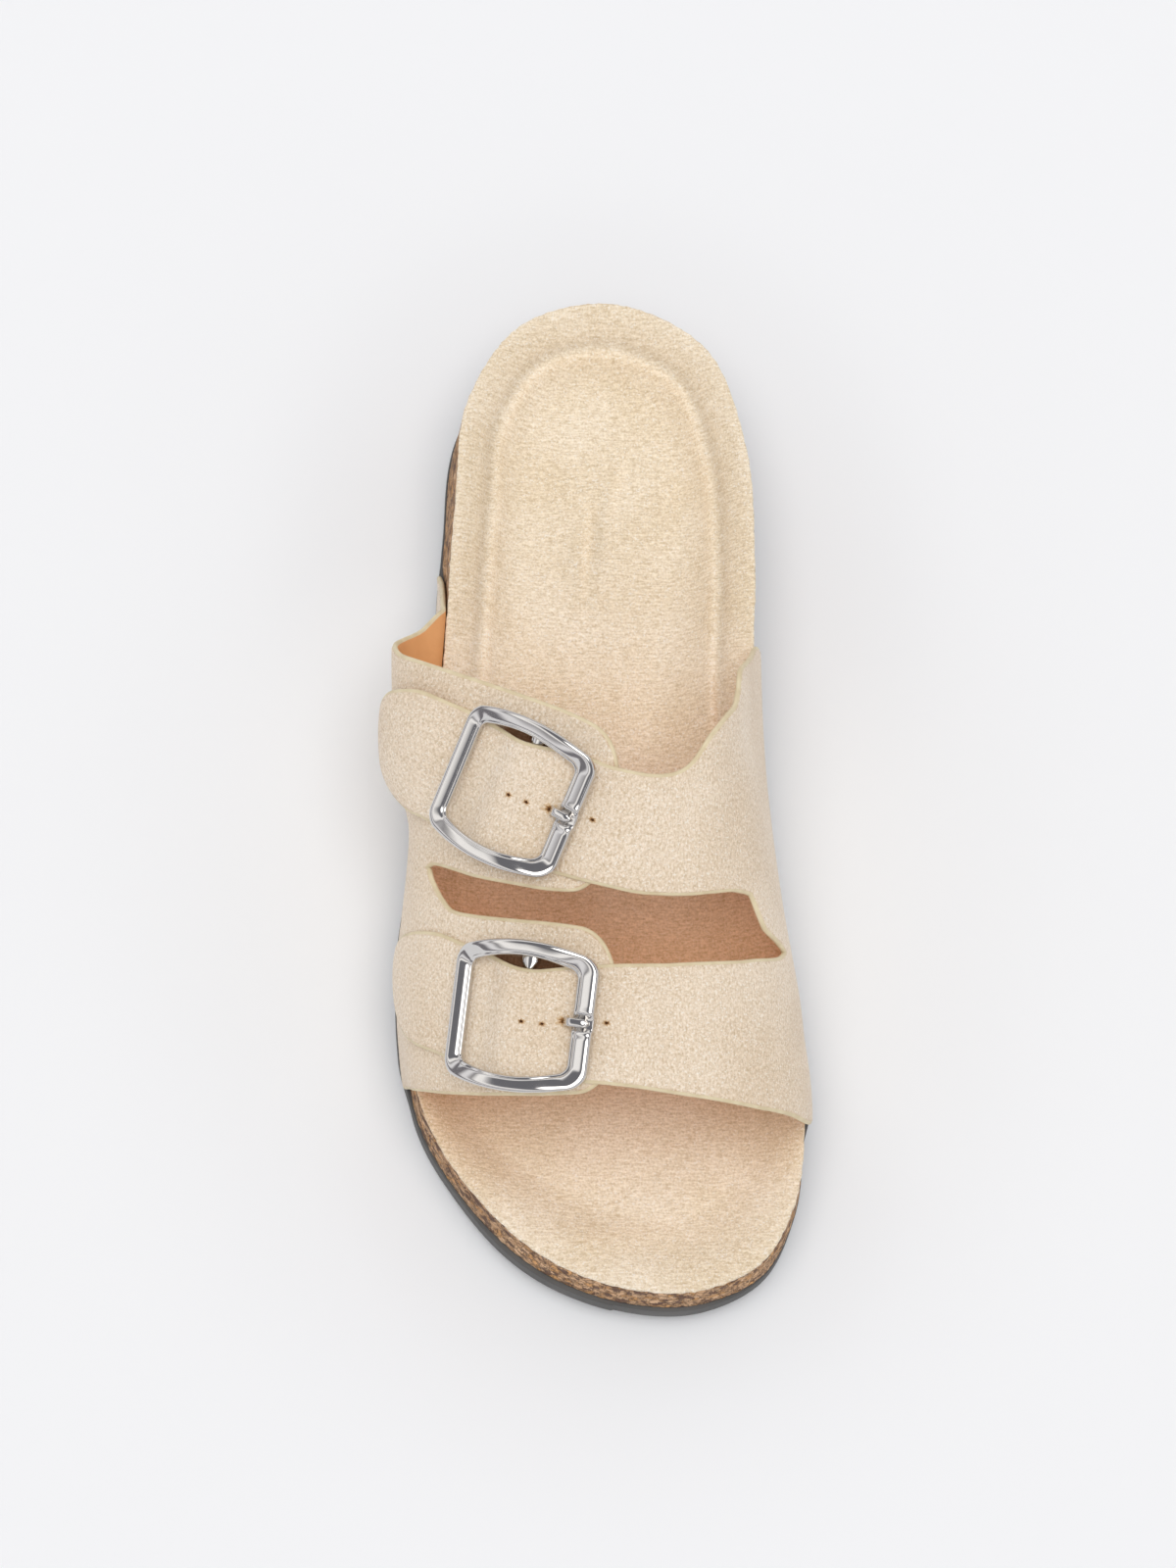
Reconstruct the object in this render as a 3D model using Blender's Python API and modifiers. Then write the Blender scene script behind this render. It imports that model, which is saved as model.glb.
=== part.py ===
"""Buckle mule, right shoe: outsole, cork footbed, insole, two-strap upper and two buckles.

The shoe stands on z = 0 with its toe towards -Y, its outer side towards -X and its heel towards +Y.
Sizes and tables are in millimetres and become metres when a mesh is made.
"""
import math

import bmesh
import bpy
import numpy as np

MM = 0.001
GAP = 0.3                   # clearance between neighbouring pieces
MERGE = 0.00001             # metres, joins the shared edges of a loft
SHARP_ANGLE = 40.0          # degrees, steeper edges are shaded sharp

# Sole
TOE_SPRING = 4.0            # rise of the toe tip
SPRING_START = -72.0        # y where the toe leaves the floor
SPRING_END = -126.0
OUTSOLE_TOE = 6.5           # outsole thickness at the toe and at the heel
OUTSOLE_HEEL = 11.0
SOLE_HALF = 126.0
SOLE_EDGE = 1.0             # rounding of the outsole's lower edge
COVER_THICK = 1.2           # insole
SPINE_REACH = 84.0          # the rings of a sole piece close on a line of this half length
SOLE_ROWS = 42
BED_STEPS = (0.0, 2.5, 6.0, 10.0, 15.0, 21.0, 28.0)     # ring distances from the rim

# Footbed rim, clockwise from the heel: x, y, height
RIM = [
    (1.5, 124.2, 38.0), (-19.5, 118.2, 38.0), (-32.2, 99.5, 38.0), (-35.8, 70.0, 37.5),
    (-37.6, 40.0, 36.5), (-39.5, 14.0, 34.0), (-42.3, -12.0, 30.0), (-45.9, -36.0, 26.0),
    (-45.8, -58.0, 24.0), (-41.9, -80.7, 22.5), (-29.6, -100.6, 22.0), (-11.9, -116.3, 22.0),
    (7.0, -123.2, 22.0), (25.0, -123.2, 22.0), (38.8, -116.5, 22.3), (46.6, -102.5, 22.8),
    (49.0, -85.0, 24.0), (47.2, -61.0, 26.5), (42.0, -30.0, 31.5), (38.2, 0.0, 37.0),
    (37.0, 26.0, 40.0), (37.7, 56.0, 39.5), (35.8, 86.0, 38.5), (25.2, 113.4, 38.0),
]
RIM_STEPS = 16

# Sides: y, outward lean of the cork for each millimetre of height, outsole's step beyond the cork
OUTER_SIDE = [
    (126.0, 0.063, 0.7), (104.0, 0.080, 0.5), (80.0, 0.093, 0.45), (66.0, 0.092, 0.45),
    (56.0, 0.050, 1.9), (-62.0, 0.050, 2.0), (-75.0, 0.050, 0.6), (-92.0, 0.055, 0.5),
    (-112.0, 0.095, 1.1), (-126.0, 0.100, 1.0),
]
INNER_SIDE = [
    (126.0, 0.063, 0.7), (90.0, 0.055, 0.5), (60.0, 0.045, 0.1), (36.0, 0.045, 0.1),
    (28.0, 0.045, 2.0), (-76.0, 0.050, 2.0), (-85.0, 0.050, 0.2), (-102.0, 0.060, 0.1),
    (-116.0, 0.090, 0.3), (-126.0, 0.100, 1.0),
]

# Foot bed: y, bed height, width of the slope up to the rim on the outer and the inner side
BED = [
    (124.0, 27.0, 17.0, 17.0), (85.0, 24.5, 17.0, 17.0), (45.0, 25.5, 18.0, 22.0),
    (10.0, 25.5, 18.0, 28.0), (-25.0, 21.0, 16.0, 26.0), (-55.0, 17.2, 14.0, 16.0),
    (-85.0, 16.6, 14.0, 14.0), (-105.0, 17.2, 20.0, 20.0), (-124.0, 18.5, 26.0, 26.0),
]

# Upper sections: y, crest x and z, then bulge, lift and reach of the outer and of the inner shoulder
UPPER = [
    (60.0, 14.0, 108.0, 44.0, 38.0, 16.0, -5.0, 30.0, 14.0),
    (25.0, 14.0, 97.0, 37.5, 34.0, 16.0, -5.0, 27.0, 14.0),
    (0.0, 13.0, 87.5, 30.0, 28.0, 18.0, -4.0, 25.0, 16.0),
    (-16.0, 11.5, 81.5, 9.5, 28.0, 24.0, -3.0, 24.0, 19.0),
    (-35.0, 10.0, 74.5, 2.0, 27.0, 30.0, -2.0, 23.0, 22.0),
    (-60.0, 8.5, 66.0, 2.0, 23.0, 30.0, -1.0, 22.0, 24.0),
    (-90.0, 8.0, 58.5, 1.0, 20.0, 30.0, 0.0, 20.0, 25.0),
]
WALL = 1.6                  # thickness of the upper
RIM_GIRTH = 0.2             # girth runs 0 at the outer feather edge, 1 at the crest, 2 at the inner edge

# Edges of the outer quarter and its two buckle tabs: girth, then y of four edges
OUTER_EDGES = [
    (0.0, 61.5, -24.0, -24.0, -71.0), (0.2, 42.5, -26.0, -26.0, -75.2),
    (0.24, 35.2, -26.4, -26.4, -76.2), (0.29, 30.8, -26.8, -26.8, -77.4),
    (0.36, 26.2, -27.3, -27.3, -79.0), (0.42, 21.8, -27.7, -27.7, -80.4),
    (0.45, 20.1, -28.2, -31.3, -81.1), (0.49, 17.9, -29.6, -36.0, -81.9),
    (0.535, 15.3, -31.5, -40.1, -82.7), (0.6, 11.4, -34.2, -42.4, -83.8),
    (0.7, 5.2, -37.4, -44.8, -85.0), (0.8, -1.0, -40.0, -46.7, -85.8),
    (0.96, -12.0, -41.7, -50.0, -86.0),
]
OUTER_JOIN = 0.42           # girth where the tabs part

# Edges of the inner quarter and its two straps: girth, then y of four edges
INNER_EDGES = [
    (0.25, 15.3, -5.0, -41.3, -58.5), (0.3, 15.0, -8.0, -41.5, -62.5),
    (0.4, 13.6, -14.4, -42.5, -68.6), (0.5, 11.2, -21.3, -44.7, -72.9),
    (0.6, 4.7, -27.5, -49.2, -78.4), (0.7, -2.2, -32.2, -53.4, -81.6),
    (0.8, -8.4, -36.1, -56.0, -83.0), (0.9, -13.4, -39.4, -56.7, -83.7),
    (1.0, -15.1, -41.6, -56.6, -84.9), (1.05, -14.6, -41.7, -56.5, -85.5),
    (1.1, -12.8, -41.5, -56.1, -86.0), (1.2, -5.0, -40.2, -55.1, -86.6),
    (1.3, 1.0, -38.7, -53.8, -87.0), (1.37, 4.6, -38.4, -52.5, -87.1),
    (1.42, 9.8, -42.8, -51.6, -86.9), (1.45, 14.6, -45.2, -51.1, -86.8),
    (1.53, 18.6, -46.2, -49.3, -86.5), (1.61, 22.5, -46.8, -46.8, -86.3),
    (1.8, 31.5, -46.0, -46.0, -83.4), (2.0, 27.0, -44.0, -44.0, -78.0),
]
INNER_JOIN = 1.61           # girth where the straps part
GIRTH_STEP = 0.042
STRIP_COLUMNS = 6
TIP_ROWS = 5
TIP_POWER = 2.4             # roundness of a tab's or a strap's end
TIP_CLOSE = 0.999           # how nearly the end's last row closes to a point

# Where each strap lies on its tab
SINK = 0.25                 # the strap's underside is let into the tab to join them
LAND_START = 0.01           # girth past the tab's end where the strap starts to come down
LAND_LENGTH = 0.12          # girth it takes
BUCKLES = {
    "rear": dict(y=-16.9, girth=0.694, heading=24.0, tab_end=0.919, tab_round=0.081,
                 tip_end=0.337, tip_round=0.105, tip_lift=1.7),
    "front": dict(y=-67.5, girth=0.747, heading=6.7, tab_end=0.955, tab_round=0.09,
                  tip_end=0.25, tip_round=0.115, tip_lift=0.3),
}
TIP_CURL = (17.8, 29.0)     # along the strap past the buckle: its end starts to stand off, and stands off

# Buckle, along the strap (s), across it (w) and away from the tab (h)
FRAME_LENGTH = 35.6
FRAME_WIDTH = 29.0          # at the end bars
FRAME_BOW = 3.2             # how far each side bows out
FRAME_ARCH = 3.0            # power of the arch from the end bars to the middle of the sides
FRAME_THICK = 2.2
OUTER_BAR = 4.1             # width of the end bars and of the sides
INNER_BAR = 5.0
SIDE_BAR = 3.0
OUTER_CORNER = 3.2          # corner radius of the frame's outline and of its opening
INNER_CORNER = 1.5
CORNER_POINTS = 5
SIDE_POINTS = 9
BAR_POINTS = 2
SECTION_POINTS = 8
# Section of the frame: share of the bar's width in from the outline, height in half thicknesses
FRAME_SECTION = [
    (0.14, -1.0), (0.0, -0.5), (0.0, 0.3), (0.14, 0.9), (0.3, 1.0),
    (0.8, 0.5), (1.0, 0.3), (1.0, -0.5), (0.86, -1.0),
]
CENTRE_BAR = 1.4            # thickness of the centre bar
POST_INSET = 1.1            # from the side's outer edge to the middle of the bar's post
STRAP_LIFT = 3.0            # how far the centre bar lifts the strap
LIFT_RISE = (-10.0, -2.0)
LIFT_FALL = (5.0, 14.5)
HOLE = (8.0, 13.0)          # prong hole along the strap
HOLE_WIDTH = 3.0
HOLE_CLEAR = 0.05           # the hole stops this far over the tab
NOTCH_WIDTH = 3.2
NOTCH_DEPTH = 0.9
NOTCH_OVERCUT = 1.0         # the notch's cutter runs past the bar on both sides
PRONG_WIDTH = 2.4
PRONG_THICK = 1.1
PRONG_START = 2.2
PRONG_RISE = (9.4, 11.6, 12.4)      # along the strap: a quarter up, nearly up, up in the notch
PRONG_CLIMB = (0.25, 0.85, 1.0)     # share of the climb at those three
PRONG_INSET = 1.3           # the prong stops short of the bar's outer edge

MATERIALS = {
    "outsole": dict(colour=(0.09, 0.09, 0.09), roughness=0.7, metallic=0.0),
    "cork_footbed": dict(colour=(0.30, 0.17, 0.09), roughness=0.85, metallic=0.0),
    "insole": dict(colour=(0.78, 0.63, 0.43), roughness=0.95, metallic=0.0),
    "upper": dict(colour=(0.80, 0.68, 0.54), roughness=0.9, metallic=0.0),
    "metal": dict(colour=(0.75, 0.74, 0.72), roughness=0.12, metallic=1.0),
}


# Curves and tables

def ease(start, end, at):
    """0 before start, 1 after end, smooth between."""
    t = np.clip((np.asarray(at, float) - start) / (end - start), 0.0, 1.0)
    return t * t * (3.0 - 2.0 * t)


def hermite(t, step, v0, m0, v1, m1):
    """Cubic from v0 to v1 with slopes m0 and m1."""
    return ((2 * t**3 - 3 * t**2 + 1) * v0 + (t**3 - 2 * t**2 + t) * step * m0
            + (3 * t**2 - 2 * t**3) * v1 + (t**3 - t**2) * step * m1)


def read_table(rows, at):
    """Columns of a table at given values of its first column, without overshoot."""
    table = np.array(sorted(rows), float)
    key, columns = table[:, 0], table[:, 1:]
    step = np.diff(key)[:, None]
    slope = np.diff(columns, axis=0) / step
    before, after = slope[:-1], slope[1:]
    same = before * after > 0.0
    tangent = np.zeros_like(columns)
    tangent[1:-1] = np.where(same, 2.0 * before * after / np.where(same, before + after, 1.0), 0.0)
    tangent[0], tangent[-1] = slope[0], slope[-1]
    at = np.clip(np.asarray(at, float), key[0], key[-1])
    i = np.clip(np.searchsorted(key, at, side="right") - 1, 0, len(key) - 2)
    t = ((at - key[i]) / (key[i + 1] - key[i]))[..., None]
    values = hermite(t, step[i], columns[i], tangent[i], columns[i + 1], tangent[i + 1])
    return np.moveaxis(values, -1, 0)


def closed_spline(rows, steps):
    """Smooth closed curve through the rows, with chord-length slopes."""
    p = np.array(rows, float)
    ahead, behind = np.roll(p, -1, 0), np.roll(p, 1, 0)
    out = np.linalg.norm((ahead - p)[:, :2], axis=1)[:, None]
    back = np.roll(out, 1, 0)
    slope = ((ahead - p) / out * back + (p - behind) / back * out) / (out + back)
    pieces = [hermite(t, out, p, slope, ahead, np.roll(slope, -1, 0))
              for t in np.linspace(0.0, 1.0, steps, endpoint=False)]
    return np.stack(pieces, 1).reshape(-1, p.shape[1])


RIM_CURVE = closed_spline(RIM, RIM_STEPS)
HEEL_INDEX = int(np.argmax(RIM_CURVE[:, 1]))
RIM_LOOP = np.roll(RIM_CURVE, -HEEL_INDEX, 0)
TOE_INDEX = int(np.argmin(RIM_LOOP[:, 1]))
OUTER_RIM = RIM_LOOP[TOE_INDEX::-1]
INNER_RIM = np.vstack([RIM_LOOP[TOE_INDEX:], RIM_LOOP[:1]])


def rim_side(y, sign):
    """Rim's x and height at y, on the outer side (-1) or the inner side (+1)."""
    side = OUTER_RIM if sign < 0 else INNER_RIM
    return np.interp(y, side[:, 1], side[:, 0]), np.interp(y, side[:, 1], side[:, 2])


def sole_side(y, outer_side):
    """Lean of the cork's side at y, and the outsole's step beyond it."""
    return np.where(outer_side, read_table(OUTER_SIDE, y), read_table(INNER_SIDE, y))


# Mesh helpers

def add_object(name, verts, faces, collection, material):
    """Mesh object from millimetre points, with shared edges merged and faces turned outward."""
    mesh = bpy.data.meshes.new(name)
    mesh.from_pydata([tuple(v) for v in np.asarray(verts) * MM], [], faces)
    shape = bmesh.new()
    shape.from_mesh(mesh)
    bmesh.ops.remove_doubles(shape, verts=shape.verts, dist=MERGE)
    bmesh.ops.dissolve_degenerate(shape, edges=shape.edges, dist=MERGE)
    bmesh.ops.recalc_face_normals(shape, faces=shape.faces)
    shape.to_mesh(mesh)
    shape.free()
    mesh.shade_smooth()
    mesh.set_sharp_from_angle(angle=math.radians(SHARP_ANGLE))
    obj = bpy.data.objects.new(name, mesh)
    collection.objects.link(obj)
    if material:
        mesh.materials.append(material)
    return obj


def grid_faces(rows, columns, closed_rows=False, closed_columns=False, start=0):
    """Quads of a grid of points stored row by row."""
    faces = []
    for i in range(rows if closed_rows else rows - 1):
        for j in range(columns if closed_columns else columns - 1):
            i2, j2 = (i + 1) % rows, (j + 1) % columns
            faces.append((start + i * columns + j, start + i * columns + j2,
                          start + i2 * columns + j2, start + i2 * columns + j))
    return faces


def ring_solid(name, rings, collection, material):
    """Closed solid from rings of points whose first and last ring fold shut on a line."""
    faces = []
    for a, b, c, d in grid_faces(len(rings), len(rings[0]), closed_columns=True):
        faces += [(a, b, c), (a, c, d)]
    return add_object(name, np.concatenate(rings), faces, collection, material)


def sweep(name, path, tops, sides, half_widths, half_thicks, collection, material):
    """Rounded flat bar along a path: tops and sides are unit vectors across it."""
    turn = np.linspace(0.0, 2.0 * math.pi, SECTION_POINTS, endpoint=False) + math.pi / SECTION_POINTS
    squash = 1.0 / math.cos(math.pi / SECTION_POINTS)
    across = np.cos(turn)[None, :, None] * squash * half_widths[:, None, None] * sides[:, None, :]
    upward = np.sin(turn)[None, :, None] * squash * half_thicks[:, None, None] * tops[:, None, :]
    verts = (path[:, None, :] + across + upward).reshape(-1, 3)
    faces = grid_faces(len(path), SECTION_POINTS, closed_columns=True)
    last = len(verts) - SECTION_POINTS
    faces.append(tuple(range(SECTION_POINTS)))
    faces.append(tuple(range(last, last + SECTION_POINTS)))
    return add_object(name, verts, faces, collection, material)


def add_boolean(target, tool, operation):
    """Exact Boolean with a tool that stays hidden."""
    tool.hide_render = True
    tool.display_type = "WIRE"
    step = target.modifiers.new(operation.lower() + "_" + tool.name, "BOOLEAN")
    step.operation = operation
    step.solver = "EXACT"
    step.object = tool


# Sole: outline rows from toe to heel and back, each with its partner on a middle line

def sole_outline():
    """Rim points, outward normals and the middle line that the rings close on."""
    lowest, highest = OUTER_RIM[0, 1], OUTER_RIM[-1, 1]
    middle, half = (lowest + highest) / 2.0, (highest - lowest) / 2.0
    rows = middle + half * np.sin(np.linspace(-math.pi / 2, math.pi / 2, SOLE_ROWS + 1)[1:-1])
    sides = []
    for sign in (-1, 1):
        x, height = rim_side(rows, sign)
        sides.append(np.column_stack([x, rows, height]))
    outer, inner = sides
    rim = np.vstack([OUTER_RIM[:1], outer, OUTER_RIM[-1:], inner[::-1]])
    along = np.roll(rim, -1, 0) - np.roll(rim, 1, 0)
    normal = np.column_stack([-along[:, 1], along[:, 0]])
    normal /= np.linalg.norm(normal, axis=1)[:, None]
    kept = np.clip(rows, -SPINE_REACH, SPINE_REACH)
    centre_x = (rim_side(kept, -1)[0] + rim_side(kept, 1)[0]) / 2.0
    spine = np.column_stack([centre_x, kept])
    spine = np.vstack([spine[:1], spine, spine[-1:], spine[::-1]])
    return rim, normal, spine


def spring(y):
    """Height of the outsole's underside over the floor."""
    return TOE_SPRING * ease(-SPRING_START, -SPRING_END, -np.asarray(y, float))


def outsole_top(y):
    """Height of the outsole's upper face."""
    return spring(y) + np.interp(y, [-SOLE_HALF, SOLE_HALF], [OUTSOLE_TOE, OUTSOLE_HEEL])


def make_outsole(collection, material):
    rim, normal, spine = sole_outline()
    lean, step = sole_side(rim[:, 1], rim[:, 0] < spine[:, 0])
    reach = lean * (rim[:, 2] - outsole_top(rim[:, 1])) + step

    def ring(inset, fold, top):
        edge = rim[:, :2] + normal * (reach - inset)[:, None]
        flat = edge + (spine - edge) * fold
        height = outsole_top(flat[:, 1]) if top else spring(flat[:, 1])
        return np.column_stack([flat, height])

    low_side = ring(0.0, 0.0, False) + (0.0, 0.0, SOLE_EDGE)
    rings = [ring(0.0, 1.0, False), ring(0.0, 0.5, False), ring(SOLE_EDGE, 0.0, False), low_side,
             ring(0.0, 0.0, True), ring(0.0, 0.5, True), ring(0.0, 1.0, True)]
    return ring_solid("outsole", rings, collection, material)


def bed_ring(distance, drop, rim, spine):
    """Ring of the foot bed at a distance in from the rim, lowered by drop."""
    edge = rim[:, :2]
    length = np.linalg.norm(spine - edge, axis=1)
    flat = edge + (spine - edge) * np.minimum(distance / length, 1.0)[:, None]
    bed, outer_width, inner_width = read_table(BED, flat[:, 1])
    width = np.where(edge[:, 0] < spine[:, 0], outer_width, inner_width)
    slope = 1.0 - ease(0.0, 1.0, np.minimum(distance, length) / width)
    return np.column_stack([flat, bed + (rim[:, 2] - bed) * slope - drop])


def make_cork(collection, material):
    rim, normal, spine = sole_outline()
    foot = outsole_top(rim[:, 1]) + GAP
    lean = sole_side(rim[:, 1], rim[:, 0] < spine[:, 0])[0]
    edge = rim[:, :2] + normal * (lean * (rim[:, 2] - foot))[:, None]

    def bottom(fold):
        flat = edge + (spine - edge) * fold
        return np.column_stack([flat, outsole_top(flat[:, 1]) + GAP])

    rings = [bottom(1.0), bottom(0.5), bottom(0.0)]
    rings += [bed_ring(d, COVER_THICK + GAP, rim, spine) for d in BED_STEPS + (SOLE_HALF,)]
    return ring_solid("cork_footbed", rings, collection, material)


def make_insole(collection, material):
    rim, normal, spine = sole_outline()
    steps = BED_STEPS + (SOLE_HALF,)
    rings = [bed_ring(d, 0.0, rim, spine) for d in reversed(steps)]
    rings += [bed_ring(d, COVER_THICK, rim, spine) for d in steps]
    return ring_solid("insole", rings, collection, material)


# Upper: sections across the foot, from the outer feather edge over the crest to the inner one

def last_surface(y, girth):
    """Inside of the upper: a straight wall beside the cork, then a curve over the foot."""
    y, girth = np.broadcast_arrays(np.asarray(y, float), np.asarray(girth, float))
    crest_x, crest_z, *shoulders = read_table(UPPER, y)
    x, z = np.empty(y.shape), np.empty(y.shape)
    for sign, (bulge, lift, reach) in ((-1, shoulders[:3]), (1, shoulders[3:])):
        along = girth if sign < 0 else 2.0 - girth
        rim_x, rim_z = rim_side(y, sign)
        foot_z = outsole_top(y) + GAP
        foot_x = rim_x + sign * (GAP + sole_side(y, sign < 0)[0] * (rim_z - foot_z))
        rim_x = rim_x + sign * GAP
        wall = np.clip(along / RIM_GIRTH, 0.0, 1.0)
        t = np.clip((along - RIM_GIRTH) / (1.0 - RIM_GIRTH), 0.0, 1.0)
        weights = ((1 - t)**3, 3 * (1 - t)**2 * t, 3 * (1 - t) * t**2, t**3)
        over_x = sum(w * p for w, p in zip(weights, (rim_x, rim_x + sign * bulge,
                                                     crest_x + sign * reach, crest_x)))
        over_z = sum(w * p for w, p in zip(weights, (rim_z, rim_z + lift, crest_z, crest_z)))
        here = girth <= 1.0 if sign < 0 else girth > 1.0
        beside = along < RIM_GIRTH
        x = np.where(here, np.where(beside, foot_x + (rim_x - foot_x) * wall, over_x), x)
        z = np.where(here, np.where(beside, foot_z + (rim_z - foot_z) * wall, over_z), z)
    return np.stack([x, y, z], -1)


def last_normal(y, girth):
    """Outward direction of the surface."""
    dy, dg = 0.05, 0.001
    up = last_surface(y, girth + dg) - last_surface(y, girth - dg)
    back = last_surface(y + dy, girth) - last_surface(y - dy, girth)
    normal = np.cross(up, back)
    return normal / np.linalg.norm(normal, axis=-1, keepdims=True)


def buckle_axes(buckle):
    """Buckle's origin on the tab and its directions along the strap, across it and outward."""
    y, girth = np.array(buckle["y"]), np.array(buckle["girth"])
    outward = last_normal(y, girth)
    turn = math.radians(buckle["heading"])
    flat = np.array([math.sin(turn), math.cos(turn), 0.0])
    across = flat - (0.0, 0.0, (flat @ outward) / outward[2])
    across /= np.linalg.norm(across)
    along = np.cross(across, outward)
    return last_surface(y, girth) + WALL * outward, along, across, outward


def strap_offset(y, girth, buckle):
    """Height of the strap's underside over the last: off the tab, over the centre bar, then down."""
    origin, along, across, outward = buckle_axes(buckle)
    s = (last_surface(y, girth) - origin) @ along
    lift = STRAP_LIFT * ease(*LIFT_RISE, s) * (1.0 - ease(*LIFT_FALL, s))
    landing = buckle["tab_end"] + LAND_START
    over_tab = 1.0 - ease(landing, landing + LAND_LENGTH, girth)
    curl = buckle["tip_lift"] * ease(*TIP_CURL, -s)
    return (WALL - SINK + lift + curl) * over_tab


def strip(rows, shared, edges, key, end, end_length, offset):
    """Sheet of the upper between two edges, its free end rounded, its shared rows on one seam."""
    rear, slot_rear, slot_front, front = read_table(edges, rows)
    seam = (slot_rear + slot_front) / 2.0
    if key == "rear":
        first, second = rear, np.where(shared, seam, slot_rear)
    else:
        first, second = np.where(shared, seam, slot_front), front
    middle, half = (first + second) / 2.0, (first - second) / 2.0
    past = np.clip(1.0 - np.abs(rows - end) / end_length, 0.0, 1.0)
    half = half * (1.0 - past**TIP_POWER * TIP_CLOSE) ** (1.0 / TIP_POWER)
    across = np.linspace(1.0, -1.0, STRIP_COLUMNS + 1)
    y = middle[:, None] + half[:, None] * across[None, :]
    girth = np.repeat(rows[:, None], STRIP_COLUMNS + 1, axis=1)
    return last_surface(y, girth) + offset(y, girth)[..., None] * last_normal(y, girth)


def girth_rows(free_end, end_length, join, far_end):
    """Rows of a strip, fine at its rounded end, and which of them it shares with its neighbour."""
    bend = free_end + end_length * math.copysign(1.0, join - free_end)
    tip = free_end + (bend - free_end) * (1.0 - np.cos(np.linspace(0.0, math.pi / 2, TIP_ROWS)))
    middle = np.linspace(bend, join, int(abs(join - bend) / GIRTH_STEP) + 2)[1:]
    tail = np.linspace(join, far_end, int(abs(far_end - join) / GIRTH_STEP) + 2)[1:]
    rows = np.concatenate([tip, middle, tail])
    return rows, np.arange(len(rows)) >= len(rows) - len(tail) - 1


def quarter(name, edges, ends, join, far_end, offsets, collection, material):
    """One side of the upper: two strips that share the part below their join, with a real wall."""
    verts, faces, count = [], [], 0
    for key, (free_end, end_length) in ends.items():
        rows, shared = girth_rows(free_end, end_length, join, far_end)
        points = strip(rows, shared, edges, key, free_end, end_length, offsets[key])
        verts.append(points.reshape(-1, 3))
        faces += grid_faces(len(rows), STRIP_COLUMNS + 1, start=count)
        count += points.shape[0] * points.shape[1]
    sheet = add_object(name, np.concatenate(verts), faces, collection, material)
    middle = sheet.data.polygons[len(sheet.data.polygons) // 2]
    shoe_centre = np.array([0.0, middle.center[1], 0.0])
    if (np.array(middle.center) - shoe_centre) @ np.array(middle.normal) < 0.0:
        sheet.data.flip_normals()
    wall = sheet.modifiers.new("wall", "SOLIDIFY")
    wall.thickness = WALL * MM
    wall.offset = 1.0
    wall.use_even_offset = True
    return sheet


def make_upper(collection, tools, material):
    tab_ends = {key: (b["tab_end"], b["tab_round"]) for key, b in BUCKLES.items()}
    tip_ends = {key: (b["tip_end"], b["tip_round"]) for key, b in BUCKLES.items()}
    on_last = {key: lambda y, girth: np.zeros_like(y) for key in BUCKLES}
    on_tab = {key: lambda y, girth, b=b: strap_offset(y, girth, b) for key, b in BUCKLES.items()}
    upper = quarter("upper", OUTER_EDGES, tab_ends, OUTER_JOIN, 0.0, on_last, collection, material)
    straps = quarter("straps", INNER_EDGES, tip_ends, INNER_JOIN, 2.0, on_tab, tools, None)
    add_boolean(upper, straps, "UNION")
    for key, buckle in BUCKLES.items():
        add_boolean(upper, hole_cutter(key, buckle, tools), "DIFFERENCE")
    return upper


# Buckles

def place(axes, s, w, h):
    """World points from buckle coordinates."""
    origin, along, across, outward = axes
    s, w, h = np.broadcast_arrays(np.asarray(s, float), np.asarray(w, float), np.asarray(h, float))
    return origin + s[..., None] * along + w[..., None] * across + h[..., None] * outward


def box_cutter(name, axes, s_range, w_range, h_range, tools):
    """Block in buckle coordinates."""
    corners = [(s, w, h) for s in s_range for w in w_range for h in h_range]
    verts = [place(axes, *corner) for corner in corners]
    faces = [(0, 1, 3, 2), (4, 6, 7, 5), (0, 4, 5, 1), (2, 3, 7, 6), (0, 2, 6, 4), (1, 5, 7, 3)]
    return add_object(name, verts, faces, tools, None)


def local_heights(buckle, s_range, half_width, strap):
    """Heights of the tab, or of the strap on it, under a patch of the buckle."""
    axes = buckle_axes(buckle)
    y, girth = np.meshgrid(buckle["y"] + np.linspace(-30.0, 30.0, 121),
                           np.linspace(buckle["tip_end"], 1.1, 161))
    height = WALL + (strap_offset(y, girth, buckle) if strap else 0.0)
    offset = last_surface(y, girth) + np.asarray(height)[..., None] * last_normal(y, girth) - axes[0]
    s, w, h = (offset @ axis for axis in axes[1:])
    inside = (s > s_range[0]) & (s < s_range[1]) & (np.abs(w) < half_width)
    return h[inside]


def hole_cutter(key, buckle, tools):
    """Prong hole: through the strap and not into the tab."""
    tab = local_heights(buckle, HOLE, HOLE_WIDTH / 2.0, False).max()
    strap = local_heights(buckle, HOLE, HOLE_WIDTH / 2.0, True).max()
    width = (-HOLE_WIDTH / 2.0, HOLE_WIDTH / 2.0)
    depth = (tab + HOLE_CLEAR, strap + WALL)
    return box_cutter("hole_" + key, buckle_axes(buckle), HOLE, width, depth, tools)


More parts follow.
